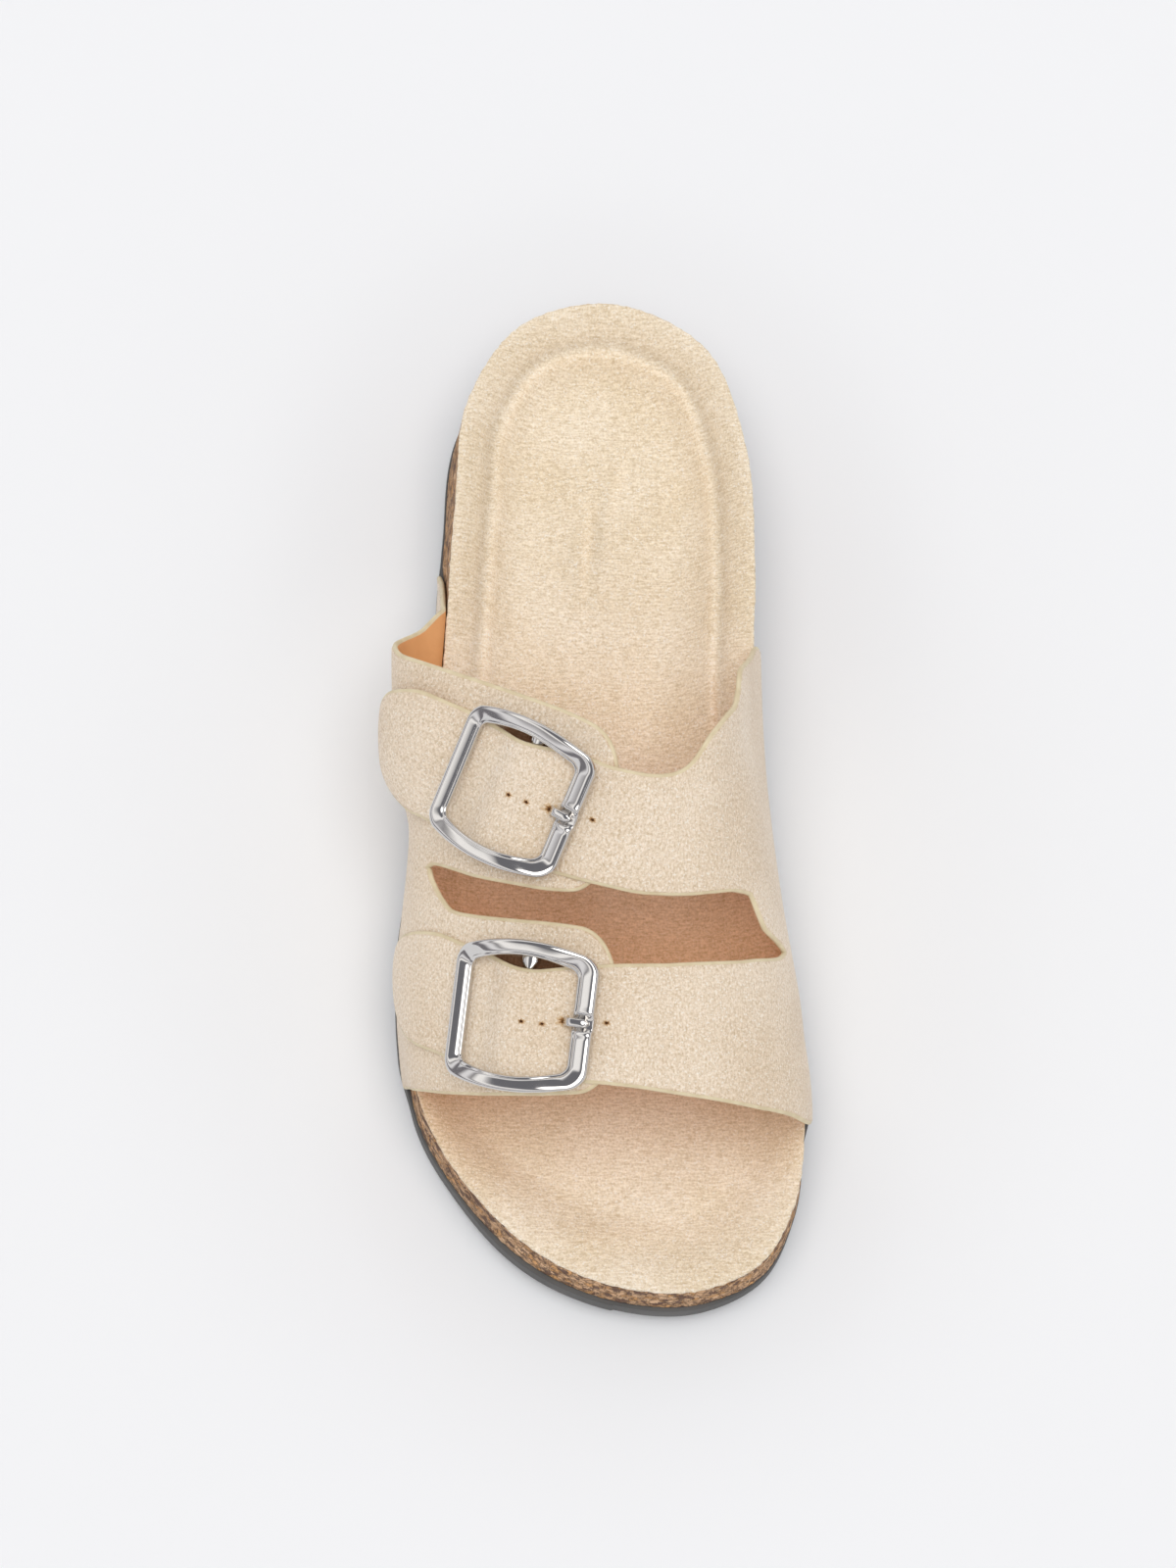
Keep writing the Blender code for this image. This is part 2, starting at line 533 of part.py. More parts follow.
def frame_levels(buckle):
    """Heights of the frame's end bars, sides and centre bar over the buckle's origin."""
    half = FRAME_LENGTH / 2.0
    patch = FRAME_WIDTH / 2.0
    outer_seat = local_heights(buckle, (-half, -half + OUTER_BAR), patch, True).max() + GAP
    inner_seat = local_heights(buckle, (half - INNER_BAR, half), patch, True).max() + GAP
    side_seat = local_heights(buckle, (-half / 2.0, half / 2.0), patch + FRAME_BOW, True).max() + GAP
    bar_seat = local_heights(buckle, (-CENTRE_BAR, CENTRE_BAR), patch, False).max() + GAP
    seats = np.array([outer_seat, inner_seat, side_seat])
    return (*(seats + FRAME_THICK / 2.0), bar_seat + CENTRE_BAR / 2.0)


def frame_loop(inset):
    """Rectangle with round corners inside the frame's outline; inset is a share of the bars' widths."""
    radius = OUTER_CORNER + (INNER_CORNER - OUTER_CORNER) * inset
    ends = {1: FRAME_LENGTH / 2.0 - INNER_BAR * inset, -1: FRAME_LENGTH / 2.0 - OUTER_BAR * inset}
    width = FRAME_WIDTH / 2.0 - SIDE_BAR * inset
    corners = []
    for number, (along, across) in enumerate(((1, 1), (-1, 1), (-1, -1), (1, -1))):
        turn = np.linspace(0.0, math.pi / 2, CORNER_POINTS) + number * math.pi / 2
        centre = (along * (ends[along] - radius), across * (width - radius))
        corners.append(np.column_stack([np.cos(turn), np.sin(turn)]) * radius + centre)
    loop = []
    for number, corner in enumerate(corners):
        points = SIDE_POINTS if number % 2 == 0 else BAR_POINTS
        share = np.linspace(0.0, 1.0, points + 2)[1:-1, None]
        loop += [corner, corner[-1] + (corners[(number + 1) % 4][0] - corner[-1]) * share]
    s, w = np.concatenate(loop).T
    return s, w, s / np.where(s > 0.0, ends[1], ends[-1])


def make_frame(key, buckle, collection, tools, material):
    """Frame: loops with bowed and arched sides, joined through its section, with a bar and a notch."""
    axes = buckle_axes(buckle)
    levels = frame_levels(buckle)
    outer_level, inner_level, side_level, _ = levels
    loops = []
    for inset, up in FRAME_SECTION:
        s, w, reach = frame_loop(inset)
        bowed = w * (1.0 + FRAME_BOW * (1.0 - reach**2) / (FRAME_WIDTH / 2.0))
        base = outer_level + (inner_level - outer_level) * (reach + 1.0) / 2.0
        arched = base + (side_level - base) * (1.0 - np.abs(reach) ** FRAME_ARCH)
        loops.append(place(axes, s, bowed, arched + up * FRAME_THICK / 2.0))
    verts = np.concatenate(loops)
    faces = grid_faces(len(loops), len(loops[0]), closed_rows=True, closed_columns=True)
    frame = add_object("buckle_frame_" + key, verts, faces, collection, material)
    add_boolean(frame, centre_bar(key, axes, levels, tools), "UNION")
    top = inner_level + FRAME_THICK / 2.0
    s_range = (FRAME_LENGTH / 2.0 - INNER_BAR - NOTCH_OVERCUT, FRAME_LENGTH / 2.0 + NOTCH_OVERCUT)
    w_range = (-NOTCH_WIDTH / 2.0, NOTCH_WIDTH / 2.0)
    h_range = (top - NOTCH_DEPTH, top + FRAME_THICK)
    add_boolean(frame, box_cutter("notch_" + key, axes, s_range, w_range, h_range, tools), "DIFFERENCE")
    return frame


def centre_bar(key, axes, levels, tools):
    """Bar between the frame's sides, dropped below the strap, with a post at each end."""
    post = FRAME_WIDTH / 2.0 + FRAME_BOW - POST_INSET
    side_level, bar_level = levels[2:]
    bend = CENTRE_BAR / 2.0
    w = np.array([-post, -post, -post + bend, post - bend, post, post])
    h = np.array([side_level, bar_level + bend, bar_level, bar_level, bar_level + bend, side_level])
    path = place(axes, 0.0, w, h)
    forward = np.gradient(path, axis=0)
    sides = np.tile(axes[1], (len(path), 1))
    tops = np.cross(forward, sides)
    tops /= np.linalg.norm(tops, axis=1)[:, None]
    half = np.full(len(path), CENTRE_BAR / 2.0)
    return sweep("centre_bar_" + key, path, tops, sides, half, half, tools, None)


def make_prong(key, buckle, collection, material):
    """Prong: beside the centre bar, up through the strap's hole and into the frame's notch."""
    axes = buckle_axes(buckle)
    levels = frame_levels(buckle)
    seat = GAP + PRONG_THICK / 2.0
    start = local_heights(buckle, (PRONG_START, HOLE[0]), PRONG_WIDTH / 2.0, False).max() + seat
    low = local_heights(buckle, HOLE, PRONG_WIDTH / 2.0, False).max() + seat
    high = levels[1] + FRAME_THICK / 2.0 - NOTCH_DEPTH + seat
    end = FRAME_LENGTH / 2.0 - PRONG_INSET
    s = np.array([PRONG_START, HOLE[0], *PRONG_RISE, end])
    h = np.array([start, low, *(low + np.array(PRONG_CLIMB) * (high - low)), high])
    path = place(axes, s, 0.0, h)
    sides = np.tile(axes[2], (len(path), 1))
    tops = np.cross(np.gradient(path, axis=0), -sides)
    tops /= np.linalg.norm(tops, axis=1)[:, None]
    half_width = np.full(len(path), PRONG_WIDTH / 2.0)
    half_thick = np.full(len(path), PRONG_THICK / 2.0)
    return sweep("prong_" + key, path, tops, sides, half_width, half_thick, collection, material)


# Assembly

def make_material(name, colour, roughness, metallic):
    material = bpy.data.materials.new(name)
    material.use_nodes = True
    shader = material.node_tree.nodes["Principled BSDF"]
    shader.inputs["Base Color"].default_value = (*colour, 1.0)
    shader.inputs["Roughness"].default_value = roughness
    shader.inputs["Metallic"].default_value = metallic
    return material


def main():
    for obj in list(bpy.data.objects):
        bpy.data.objects.remove(obj)
    parts = bpy.data.collections.new("buckle_mule")
    tools = bpy.data.collections.new("buckle_mule_cutters")
    for collection in (parts, tools):
        bpy.context.scene.collection.children.link(collection)
    make_outsole(parts, make_material("outsole", **MATERIALS["outsole"]))
    make_cork(parts, make_material("cork_footbed", **MATERIALS["cork_footbed"]))
    make_insole(parts, make_material("insole", **MATERIALS["insole"]))
    make_upper(parts, tools, make_material("upper", **MATERIALS["upper"]))
    for key, buckle in BUCKLES.items():
        make_frame(key, buckle, parts, tools, make_material("frame_" + key, **MATERIALS["metal"]))
        make_prong(key, buckle, parts, make_material("prong_" + key, **MATERIALS["metal"]))


main()
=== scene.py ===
import math

import bmesh
import bpy
import numpy as np
from mathutils import Matrix, Vector


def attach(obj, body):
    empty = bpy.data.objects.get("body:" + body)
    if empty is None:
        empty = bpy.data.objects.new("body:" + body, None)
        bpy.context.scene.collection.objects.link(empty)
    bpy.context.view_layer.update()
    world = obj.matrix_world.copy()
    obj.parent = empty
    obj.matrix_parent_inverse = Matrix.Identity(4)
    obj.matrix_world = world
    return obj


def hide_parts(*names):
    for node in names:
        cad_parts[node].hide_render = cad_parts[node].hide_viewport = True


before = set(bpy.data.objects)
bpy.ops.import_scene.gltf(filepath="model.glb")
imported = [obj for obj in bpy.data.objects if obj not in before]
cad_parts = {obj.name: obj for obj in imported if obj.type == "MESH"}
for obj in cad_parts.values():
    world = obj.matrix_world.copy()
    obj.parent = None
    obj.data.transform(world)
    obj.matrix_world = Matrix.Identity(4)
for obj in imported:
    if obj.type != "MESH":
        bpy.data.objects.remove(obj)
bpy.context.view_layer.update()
print("frame loaded with", len(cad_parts), "nodes")

mm = 0.001
metre = 1000.0      # in mm

# The shoe in millimetres: toe towards -y, outer side towards -x, floor at z = 0
shoe = dict(
    # footbed rim from the heel along the outer side: x, y, height
    rim=[
        (1.5, 124.2, 38.0), (-19.5, 118.2, 38.0), (-32.2, 99.5, 38.0), (-35.8, 70.0, 37.5),
        (-37.6, 40.0, 36.5), (-39.5, 14.0, 34.0), (-42.3, -12.0, 30.0), (-45.9, -36.0, 26.0),
        (-45.8, -58.0, 24.0), (-41.9, -80.7, 22.5), (-29.6, -100.6, 22.0), (-11.9, -116.3, 22.0),
        (7.0, -123.2, 22.0), (25.0, -123.2, 22.0), (38.8, -116.5, 22.3), (46.6, -102.5, 22.8),
        (49.0, -85.0, 24.0), (47.2, -61.0, 26.5), (42.0, -30.0, 31.5), (38.2, 0.0, 37.0),
        (37.0, 26.0, 40.0), (37.7, 56.0, 39.5), (35.8, 86.0, 38.5), (25.2, 113.4, 38.0),
    ],
    rimSteps=40,
    # foot bed: y, height, width of its slope on the outer and the inner side
    bed=[
        (124.0, 27.0, 17.0, 17.0), (85.0, 24.5, 17.0, 17.0), (45.0, 25.5, 18.0, 22.0),
        (10.0, 25.5, 18.0, 28.0), (-25.0, 21.0, 16.0, 26.0), (-55.0, 17.2, 14.0, 16.0),
        (-85.0, 16.6, 14.0, 14.0), (-105.0, 17.2, 20.0, 20.0), (-124.0, 18.5, 26.0, 26.0),
    ],
    # last over the foot: y, crest x and z, then bulge, lift and reach of the outer and the inner shoulder
    last=[
        (60.0, 14.0, 108.0, 44.0, 38.0, 16.0, -5.0, 30.0, 14.0),
        (25.0, 14.0, 97.0, 37.5, 34.0, 16.0, -5.0, 27.0, 14.0),
        (0.0, 13.0, 87.5, 30.0, 28.0, 18.0, -4.0, 25.0, 16.0),
        (-16.0, 11.5, 81.5, 9.5, 28.0, 24.0, -3.0, 24.0, 19.0),
        (-35.0, 10.0, 74.5, 2.0, 27.0, 30.0, -2.0, 23.0, 22.0),
        (-60.0, 8.5, 66.0, 2.0, 23.0, 30.0, -1.0, 22.0, 24.0),
        (-90.0, 8.0, 58.5, 1.0, 20.0, 30.0, 0.0, 20.0, 25.0),
    ],
    # sides: y, outward lean of the cork for each millimetre of height, outsole's step beyond the cork
    outerSide=[
        (126.0, 0.063, 0.7), (104.0, 0.080, 0.5), (80.0, 0.093, 0.45), (66.0, 0.092, 0.45),
        (56.0, 0.050, 1.9), (-62.0, 0.050, 2.0), (-75.0, 0.050, 0.6), (-92.0, 0.055, 0.5),
        (-112.0, 0.095, 1.1), (-126.0, 0.100, 1.0),
    ],
    innerSide=[
        (126.0, 0.063, 0.7), (90.0, 0.055, 0.5), (60.0, 0.045, 0.1), (36.0, 0.045, 0.1),
        (28.0, 0.045, 2.0), (-76.0, 0.050, 2.0), (-85.0, 0.050, 0.2), (-102.0, 0.060, 0.1),
        (-116.0, 0.090, 0.3), (-126.0, 0.100, 1.0),
    ],
    rimGirth=0.2, wall=1.6, gap=0.3,
    toeSpring=4.0, springStart=-72.0, springEnd=-126.0,
    soleToe=6.5, soleHeel=11.0, soleHalf=126.0, spineReach=84.0,
    girthProbe=0.001, yProbe=0.05,      # steps for the normal
    seamJoin=0.002, sliver=0.0005,      # points this near are one, edges this short go
)


# smooth step: 3 t^2 - 2 t^3 between start and end
def smooth(start, end, at):
    t = np.clip((np.asarray(at, float) - start) / (end - start), 0.0, 1.0)
    return t * t * (3.0 - 2.0 * t)


# bell: exp of minus the square of (at - middle) over width
def bell(at, middle, width):
    return np.exp(-((np.asarray(at, float) - middle) / width) ** 2)


# vectors over their lengths
def unit(vectors):
    return vectors / np.linalg.norm(vectors, axis=-1, keepdims=True)


# cubic through v0 and v1 with slopes m0 and m1, t from 0 to 1 over step
def cubic(t, step, v0, m0, v1, m1):
    return ((2 * t**3 - 3 * t**2 + 1) * v0 + (t**3 - 2 * t**2 + t) * step * m0
            + (3 * t**2 - 2 * t**3) * v1 + (t**3 - t**2) * step * m1)


# columns of a table at any values of its first column; slopes are harmonic means, so nothing overshoots
def readTable(rows, at):
    table = np.array(sorted(rows), float)
    key, columns = table[:, 0], table[:, 1:]
    step = np.diff(key)[:, None]
    slope = np.diff(columns, axis=0) / step
    before, after = slope[:-1], slope[1:]
    same = before * after > 0.0
    tangent = np.zeros_like(columns)
    tangent[1:-1] = np.where(same, 2.0 * before * after / np.where(same, before + after, 1.0), 0.0)
    tangent[0], tangent[-1] = slope[0], slope[-1]
    at = np.clip(np.asarray(at, float), key[0], key[-1])
    i = np.clip(np.searchsorted(key, at, side="right") - 1, 0, len(key) - 2)
    t = ((at - key[i]) / (key[i + 1] - key[i]))[..., None]
    values = cubic(t, step[i], columns[i], tangent[i], columns[i + 1], tangent[i + 1])
    return np.moveaxis(values, -1, 0)


# closed curve through the rows: cubics with slopes weighted by chord length
def closedCurve(rows, steps):
    p = np.array(rows, float)
    ahead, behind = np.roll(p, -1, 0), np.roll(p, 1, 0)
    out = np.linalg.norm((ahead - p)[:, :2], axis=1)[:, None]
    back = np.roll(out, 1, 0)
    slope = ((ahead - p) / out * back + (p - behind) / back * out) / (out + back)
    t = np.linspace(0.0, 1.0, steps, endpoint=False)[None, :, None]
    near = [v[:, None, :] for v in (p, slope, ahead, np.roll(slope, -1, 0))]
    return cubic(t, out[:, None, :], *near).reshape(-1, p.shape[1])


rimCurve = closedCurve(shoe["rim"], shoe["rimSteps"])
rimLoop = np.roll(rimCurve, -int(np.argmax(rimCurve[:, 1])), 0)
toeIndex = int(np.argmin(rimLoop[:, 1]))
outerRim = rimLoop[toeIndex::-1]
innerRim = np.vstack([rimLoop[toeIndex:], rimLoop[:1]])


# rim's x and height at y, on the outer side (-1) or the inner side (+1)
def rimSide(y, side):
    line = outerRim if side < 0 else innerRim
    return np.interp(y, line[:, 1], line[:, 0]), np.interp(y, line[:, 1], line[:, 2])


# lean of the cork's side at y, and the outsole's step beyond it
def soleSide(y, outer):
    return np.where(outer, readTable(shoe["outerSide"], y), readTable(shoe["innerSide"], y))


# underside of the sole: flat, then a smooth rise to the toe
def soleUnder(y):
    return shoe["toeSpring"] * smooth(-shoe["springStart"], -shoe["springEnd"], -np.asarray(y, float))


# top of the outsole: underside plus a thickness that grows evenly to the heel
def soleTop(y):
    half = shoe["soleHalf"]
    return soleUnder(y) + np.interp(y, [-half, half], [shoe["soleToe"], shoe["soleHeel"]])


# outline points, outward normals and the middle line: y runs as a sine from toe to heel and back
def soleOutline(rows):
    low, high = outerRim[0, 1], outerRim[-1, 1]
    turn = np.linspace(-math.pi / 2, math.pi / 2, rows + 1)[1:-1]
    y = (low + high) / 2 + (high - low) / 2 * np.sin(turn)
    outer, inner = (np.column_stack([rimSide(y, s)[0], y, rimSide(y, s)[1]]) for s in (-1, 1))
    rim = np.vstack([outerRim[:1], outer, outerRim[-1:], inner[::-1]])
    along = np.roll(rim, -1, 0) - np.roll(rim, 1, 0)
    normal = unit(np.column_stack([-along[:, 1], along[:, 0]]))
    kept = np.clip(y, -shoe["spineReach"], shoe["spineReach"])
    spine = np.column_stack([(rimSide(kept, -1)[0] + rimSide(kept, 1)[0]) / 2, kept])
    spine = np.vstack([spine[:1], spine, spine[-1:], spine[::-1]])
    return rim, normal, spine


# inside of the upper: a straight wall beside the cork, then a cubic Bezier from the rim over the crest
def lastSurface(y, girth):
    y, girth = np.broadcast_arrays(np.asarray(y, float), np.asarray(girth, float))
    crestX, crestZ, *shoulders = readTable(shoe["last"], y)
    x, z = np.zeros(y.shape), np.zeros(y.shape)
    for side, (bulge, lift, reach) in ((-1, shoulders[:3]), (1, shoulders[3:])):
        along = girth if side < 0 else 2.0 - girth
        rimX, rimZ = rimSide(y, side)
        footZ = soleTop(y) + shoe["gap"]
        footX = rimX + side * (shoe["gap"] + soleSide(y, side < 0)[0] * (rimZ - footZ))
        rimX = rimX + side * shoe["gap"]
        wall = np.clip(along / shoe["rimGirth"], 0.0, 1.0)
        t = np.clip((along - shoe["rimGirth"]) / (1.0 - shoe["rimGirth"]), 0.0, 1.0)
        w = ((1 - t)**3, 3 * (1 - t)**2 * t, 3 * (1 - t) * t**2, t**3)
        overX = w[0] * rimX + w[1] * (rimX + side * bulge) + w[2] * (crestX + side * reach) + w[3] * crestX
        overZ = w[0] * rimZ + w[1] * (rimZ + lift) + (w[2] + w[3]) * crestZ
        here = girth <= 1.0 if side < 0 else girth > 1.0
        beside = along < shoe["rimGirth"]
        x = np.where(here, np.where(beside, footX + (rimX - footX) * wall, overX), x)
        z = np.where(here, np.where(beside, footZ + (rimZ - footZ) * wall, overZ), z)
    return np.stack([x, y, z], -1)


# outward normal: cross product of the steps along girth and along y
def lastNormal(y, girth):
    dGirth, dy = shoe["girthProbe"], shoe["yProbe"]
    up = lastSurface(y, girth + dGirth) - lastSurface(y, girth - dGirth)
    back = lastSurface(y + dy, girth) - lastSurface(y - dy, girth)
    return unit(np.cross(up, back))


# quads of a grid of points stored row by row, as one array
def gridFaces(rows, columns, loopRows=False, loopColumns=False, start=0):
    i = np.arange(rows if loopRows else rows - 1)[:, None]
    j = np.arange(columns if loopColumns else columns - 1)[None, :]
    i2, j2 = (i + 1) % rows, (j + 1) % columns
    corners = [a * columns + b for a, b in ((i, j), (i, j2), (i2, j2), (i2, j))]
    return np.stack(np.broadcast_arrays(*corners), -1).reshape(-1, 4) + start


# six times the enclosed volume, by the divergence sum over the quads' two halves
def enclosed(verts, quads):
    a, b, c, d = (verts[quads[:, k]] for k in range(4))
    return np.sum(np.cross(a, b) * c) + np.sum(np.cross(a, c) * d)


# joins the points that fold together on a middle line or at a pole, so the surface is closed there
def closeSeams(mesh):
    shape = bmesh.new()
    shape.from_mesh(mesh)
    bmesh.ops.remove_doubles(shape, verts=shape.verts, dist=shoe["seamJoin"] * mm)
    bmesh.ops.dissolve_degenerate(shape, edges=shape.edges, dist=shoe["sliver"] * mm)
    shape.to_mesh(mesh)
    shape.free()


# puts a closed surface into a mesh, turns it outward, and hangs it on the shoe
def addPiece(name, verts, quads, finishes, nodes=(), finishOf=None, uv=None, shades=None):
    if enclosed(verts, quads) < 0.0:
        quads = quads[:, ::-1]
    mesh = bpy.data.meshes.new(name)
    mesh.from_pydata((verts * mm).tolist(), [], quads.tolist())
    for finish in finishes:
        mesh.materials.append(finish)
    if finishOf is not None:
        mesh.polygons.foreach_set("material_index", finishOf.astype(np.int32))
    if uv is not None:
        corner = np.empty(len(mesh.loops), np.int32)
        mesh.loops.foreach_get("vertex_index", corner)
        layer = mesh.uv_layers.new(name="surface")
        layer.data.foreach_set("uv", (uv * mm)[corner].astype(np.float32).ravel())
    for key, values in (shades or {}).items():
        shade = mesh.attributes.new(key, "FLOAT", "POINT")
        shade.data.foreach_set("value", np.asarray(values, np.float32))
    closeSeams(mesh)
    mesh.shade_smooth()
    piece = bpy.data.objects.new(name, mesh)
    bpy.context.scene.collection.objects.link(piece)
    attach(piece, "root")
    if nodes:
        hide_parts(*nodes)
    print("made", name, "with", len(quads), "quads")


# closed solid from rings that start and end folded on the middle line
def addRings(name, rings, finish, node, shades=None):
    quads = gridFaces(len(rings), len(rings[0]), loopColumns=True)
    addPiece(name, np.concatenate(rings), quads, [finish], [node], shades=shades)


# Finishes

# links a socket to another socket, or sets its value
def feed(tree, socket, value):
    if isinstance(value, bpy.types.NodeSocket):
        tree.links.new(value, socket)
    else:
        socket.default_value = (*value, 1.0) if socket.type == "RGBA" else value


# new node with its settings and inputs; _ in an input's name stands for a space
def put(tree, kind, settings=None, **inputs):
    node = tree.nodes.new("ShaderNode" + kind)
    for key, value in (settings or {}).items():
        setattr(node, key, value)
    for key, value in inputs.items():
        feed(tree, node.inputs[key.replace("_", " ")], value)
    return node


# one step of arithmetic on sockets or numbers, also on vectors
def calc(tree, how, *values, kind="Math"):
    node = put(tree, kind, dict(operation=how))
    for socket, value in zip(node.inputs, values):
        feed(tree, socket, value)
    return node.outputs


# colour between two colours or sockets
def tint(tree, amount, first, second, how="MIX"):
    node = put(tree, "Mix", dict(data_type="RGBA", blend_type=how))
    for index, value in ((0, amount), (6, first), (7, second)):
        feed(tree, node.inputs[index], value)
    return node.outputs[2]


# value from low..high to toLow..toHigh, held at both ends
def spread(tree, value, low, high, toLow=0.0, toHigh=1.0):
    ends = dict(From_Min=low, From_Max=high, To_Min=toLow, To_Max=toHigh)
    return put(tree, "MapRange", Value=value, **ends).outputs[0]


# soft noise, scale in spots to the unit of where
def noise(tree, where, scale, detail, roughness=0.5):
    return put(tree, "TexNoise", Vector=where, Scale=scale, Detail=detail, Roughness=roughness).outputs[0]


# position on the piece
def onPiece(tree):
    return put(tree, "TexCoord").outputs["Object"]


# shade stored on the piece's points
def shadeOf(tree, name):
    return put(tree, "Attribute", dict(attribute_name=name)).outputs["Fac"]


# material with the shader's own sockets set
def newFinish(name, **sockets):
    finish = bpy.data.materials.new(name)
    finish.use_nodes = True
    tree = finish.node_tree
    shader = tree.nodes["Principled BSDF"]
    for key, value in sockets.items():
        feed(tree, shader.inputs[key.replace("_", " ")], value)
    return finish, tree, shader


# joins a height to the shader's normal
def emboss(tree, shader, height, depth):
    bump = put(tree, "Bump", Height=height, Distance=depth * mm, Strength=1.0)
    tree.links.new(bump.outputs[0], shader.inputs["Normal"])


velour = dict(
    # two shades of the broad patches, and the rib's dash in mm along and across
    insole=dict(low=(0.815, 0.685, 0.495), high=(0.905, 0.795, 0.627), dash=(2.6, 0.55)),
    upper=dict(low=(0.77, 0.63, 0.47), high=(0.855, 0.73, 0.578), dash=(1.1, 0.5)),
    grain=0.62, glint=0.45, patch=26.0, depth=0.34,     # mm
    shares=(0.55, 0.45),                                # grain and dashes in the pile
    pile=(0.36, 0.64), lit=dict(Red=(0.76, 1.14), Green=(0.70, 1.18), Blue=(0.60, 1.26)),
    # spread of the patches; spread of the painted glints, and their pale colour as tip
    patches=(0.32, 0.68), glints=(0.58, 0.70, 0.0, 0.75), tip=(0.95, 0.90, 0.83),
    # line at the painted edge: colour, distance it starts and is full at, and the noise that breaks it
    line=(0.52, 0.31, 0.145), lineFrom=(0.55, 0.1), lineNoise=(420.0, 2.0),
    lineBroken=(0.42, 0.62, 0.05, 0.6),
    # painted shade: browner on the bed under the straps, dark brown on a tab inside a buckle
    shaded=(0.84, 0.56, 0.36), buckleShade=(0.24, 0.145, 0.095),
    # painted light from the bed's relief: its height range, and the colour factor from grooves to ridges
    relief=(-0.8, 0.8), reliefShade=(0.90, 1.12),
)


# velour: broad soft patches, short dashes of the rib, a speckle of lit and shaded pile, painted glints as
# pale specks
def velourFinish(name, low, high, dash, onSurface):
    finish, tree, shader = newFinish(
        name, Roughness=0.93, Specular_IOR_Level=0.2,
        Sheen_Weight=0.3, Sheen_Roughness=0.4, Sheen_Tint=(1.0, 0.97, 0.94))
    field = onPiece(tree)
    weave = put(tree, "UVMap", dict(uv_map="surface")).outputs[0] if onSurface else field
    ribs = put(tree, "Mapping", Vector=weave, Scale=(metre / dash[0], metre / dash[1], 1.0)).outputs[0]
    dashes = noise(tree, ribs, 1.0, 2.0, 0.6)
    patch = noise(tree, field, metre / velour["patch"], 2.0)
    grain = noise(tree, field, metre / velour["grain"], 2.0, 0.75)
    glintSpots = noise(tree, field, metre / velour["glint"], 1.0)
    parts = zip((grain, dashes), velour["shares"])
    pile = calc(tree, "ADD", *(calc(tree, "MULTIPLY", *part)[0] for part in parts))[0]
    lit = {tone: spread(tree, pile, *velour["pile"], *ends) for tone, ends in velour["lit"].items()}
    colour = tint(tree, spread(tree, patch, *velour["patches"]), low, high)
    colour = tint(tree, 1.0, colour, put(tree, "CombineColor", **lit).outputs[0], "MULTIPLY")
    # painted highlight: pale glints on the pile
    colour = tint(tree, spread(tree, glintSpots, *velour["glints"]), colour, velour["tip"])
    emboss(tree, shader, pile, velour["depth"])
    return finish, tree, shader, field, colour


# straps: velour, a thin brown line where the pile meets the painted edge, painted brown shade under the
# buckles
def strapFinish():
    finish, tree, shader, field, colour = velourFinish("strapVelour", **velour["upper"], onSurface=True)
    broken = spread(tree, noise(tree, field, *velour["lineNoise"]), *velour["lineBroken"])
    line = calc(tree, "MULTIPLY", spread(tree, shadeOf(tree, "edge"), *velour["lineFrom"]), broken)[0]
    colour = tint(tree, line, colour, velour["line"])
    # painted shade where a buckle frame overhangs the tab
    colour = tint(tree, shadeOf(tree, "shaded"), colour, velour["buckleShade"], "MULTIPLY")
    feed(tree, shader.inputs["Base Color"], colour)
    return finish


# foot bed: velour, painted browner where the straps shade it, with painted highlight on ridges and painted
# shade in grooves
def insoleFinish():
    finish, tree, shader, field, colour = velourFinish("insoleVelour", **velour["insole"], onSurface=False)
    colour = tint(tree, shadeOf(tree, "shaded"), colour, velour["shaded"], "MULTIPLY")
    # painted highlight on ridges and painted shade in grooves, from the relief's height
    lean = spread(tree, shadeOf(tree, "relief"), *velour["relief"], *velour["reliefShade"])
    reliefShade = put(tree, "CombineColor", Red=lean, Green=lean, Blue=lean).outputs[0]
    feed(tree, shader.inputs["Base Color"], tint(tree, 1.0, colour, reliefShade, "MULTIPLY"))
    return finish


# plain finishes: spots and skin as scale and detail of their noise, pores as a scale, depth in mm
plain = dict(
    edgePaint=dict(deep=(0.68, 0.57, 0.37), pale=(0.77, 0.67, 0.46), spots=(300.0, 3.0), mix=(0.35, 0.65),
                   skin=(300.0, 3.0), depth=0.12, roughness=0.5, gloss=0.35),
    tanLining=dict(deep=(0.70, 0.325, 0.12), pale=(0.80, 0.41, 0.17), spots=(90.0, 4.0), mix=(0.3, 0.7),
                   pores=1100.0, depth=0.05, roughness=0.6, gloss=0.35),
    soleRubber=dict(deep=(0.082, 0.080, 0.077), pale=(0.118, 0.115, 0.110), spots=(60.0, 4.0),
                    mix=(0.35, 0.7), skin=(900.0, 3.0), depth=0.08, roughness=0.62, gloss=0.4),
)


# painted edge, lining and sole: two shades mixed by soft spots, with a fine skin or pores pressed in
def plainFinish(name):
    look = plain[name]
    finish, tree, shader = newFinish(name, Roughness=look["roughness"], Specular_IOR_Level=look["gloss"])
    field = onPiece(tree)
    amount = spread(tree, noise(tree, field, *look["spots"]), *look["mix"])
    feed(tree, shader.inputs["Base Color"], tint(tree, amount, look["deep"], look["pale"]))
    if "pores" in look:
        height = put(tree, "TexVoronoi", Vector=field, Scale=look["pores"]).outputs[0]
    else:
        height = noise(tree, field, *look["skin"])
    emboss(tree, shader, height, look["depth"])
    return finish


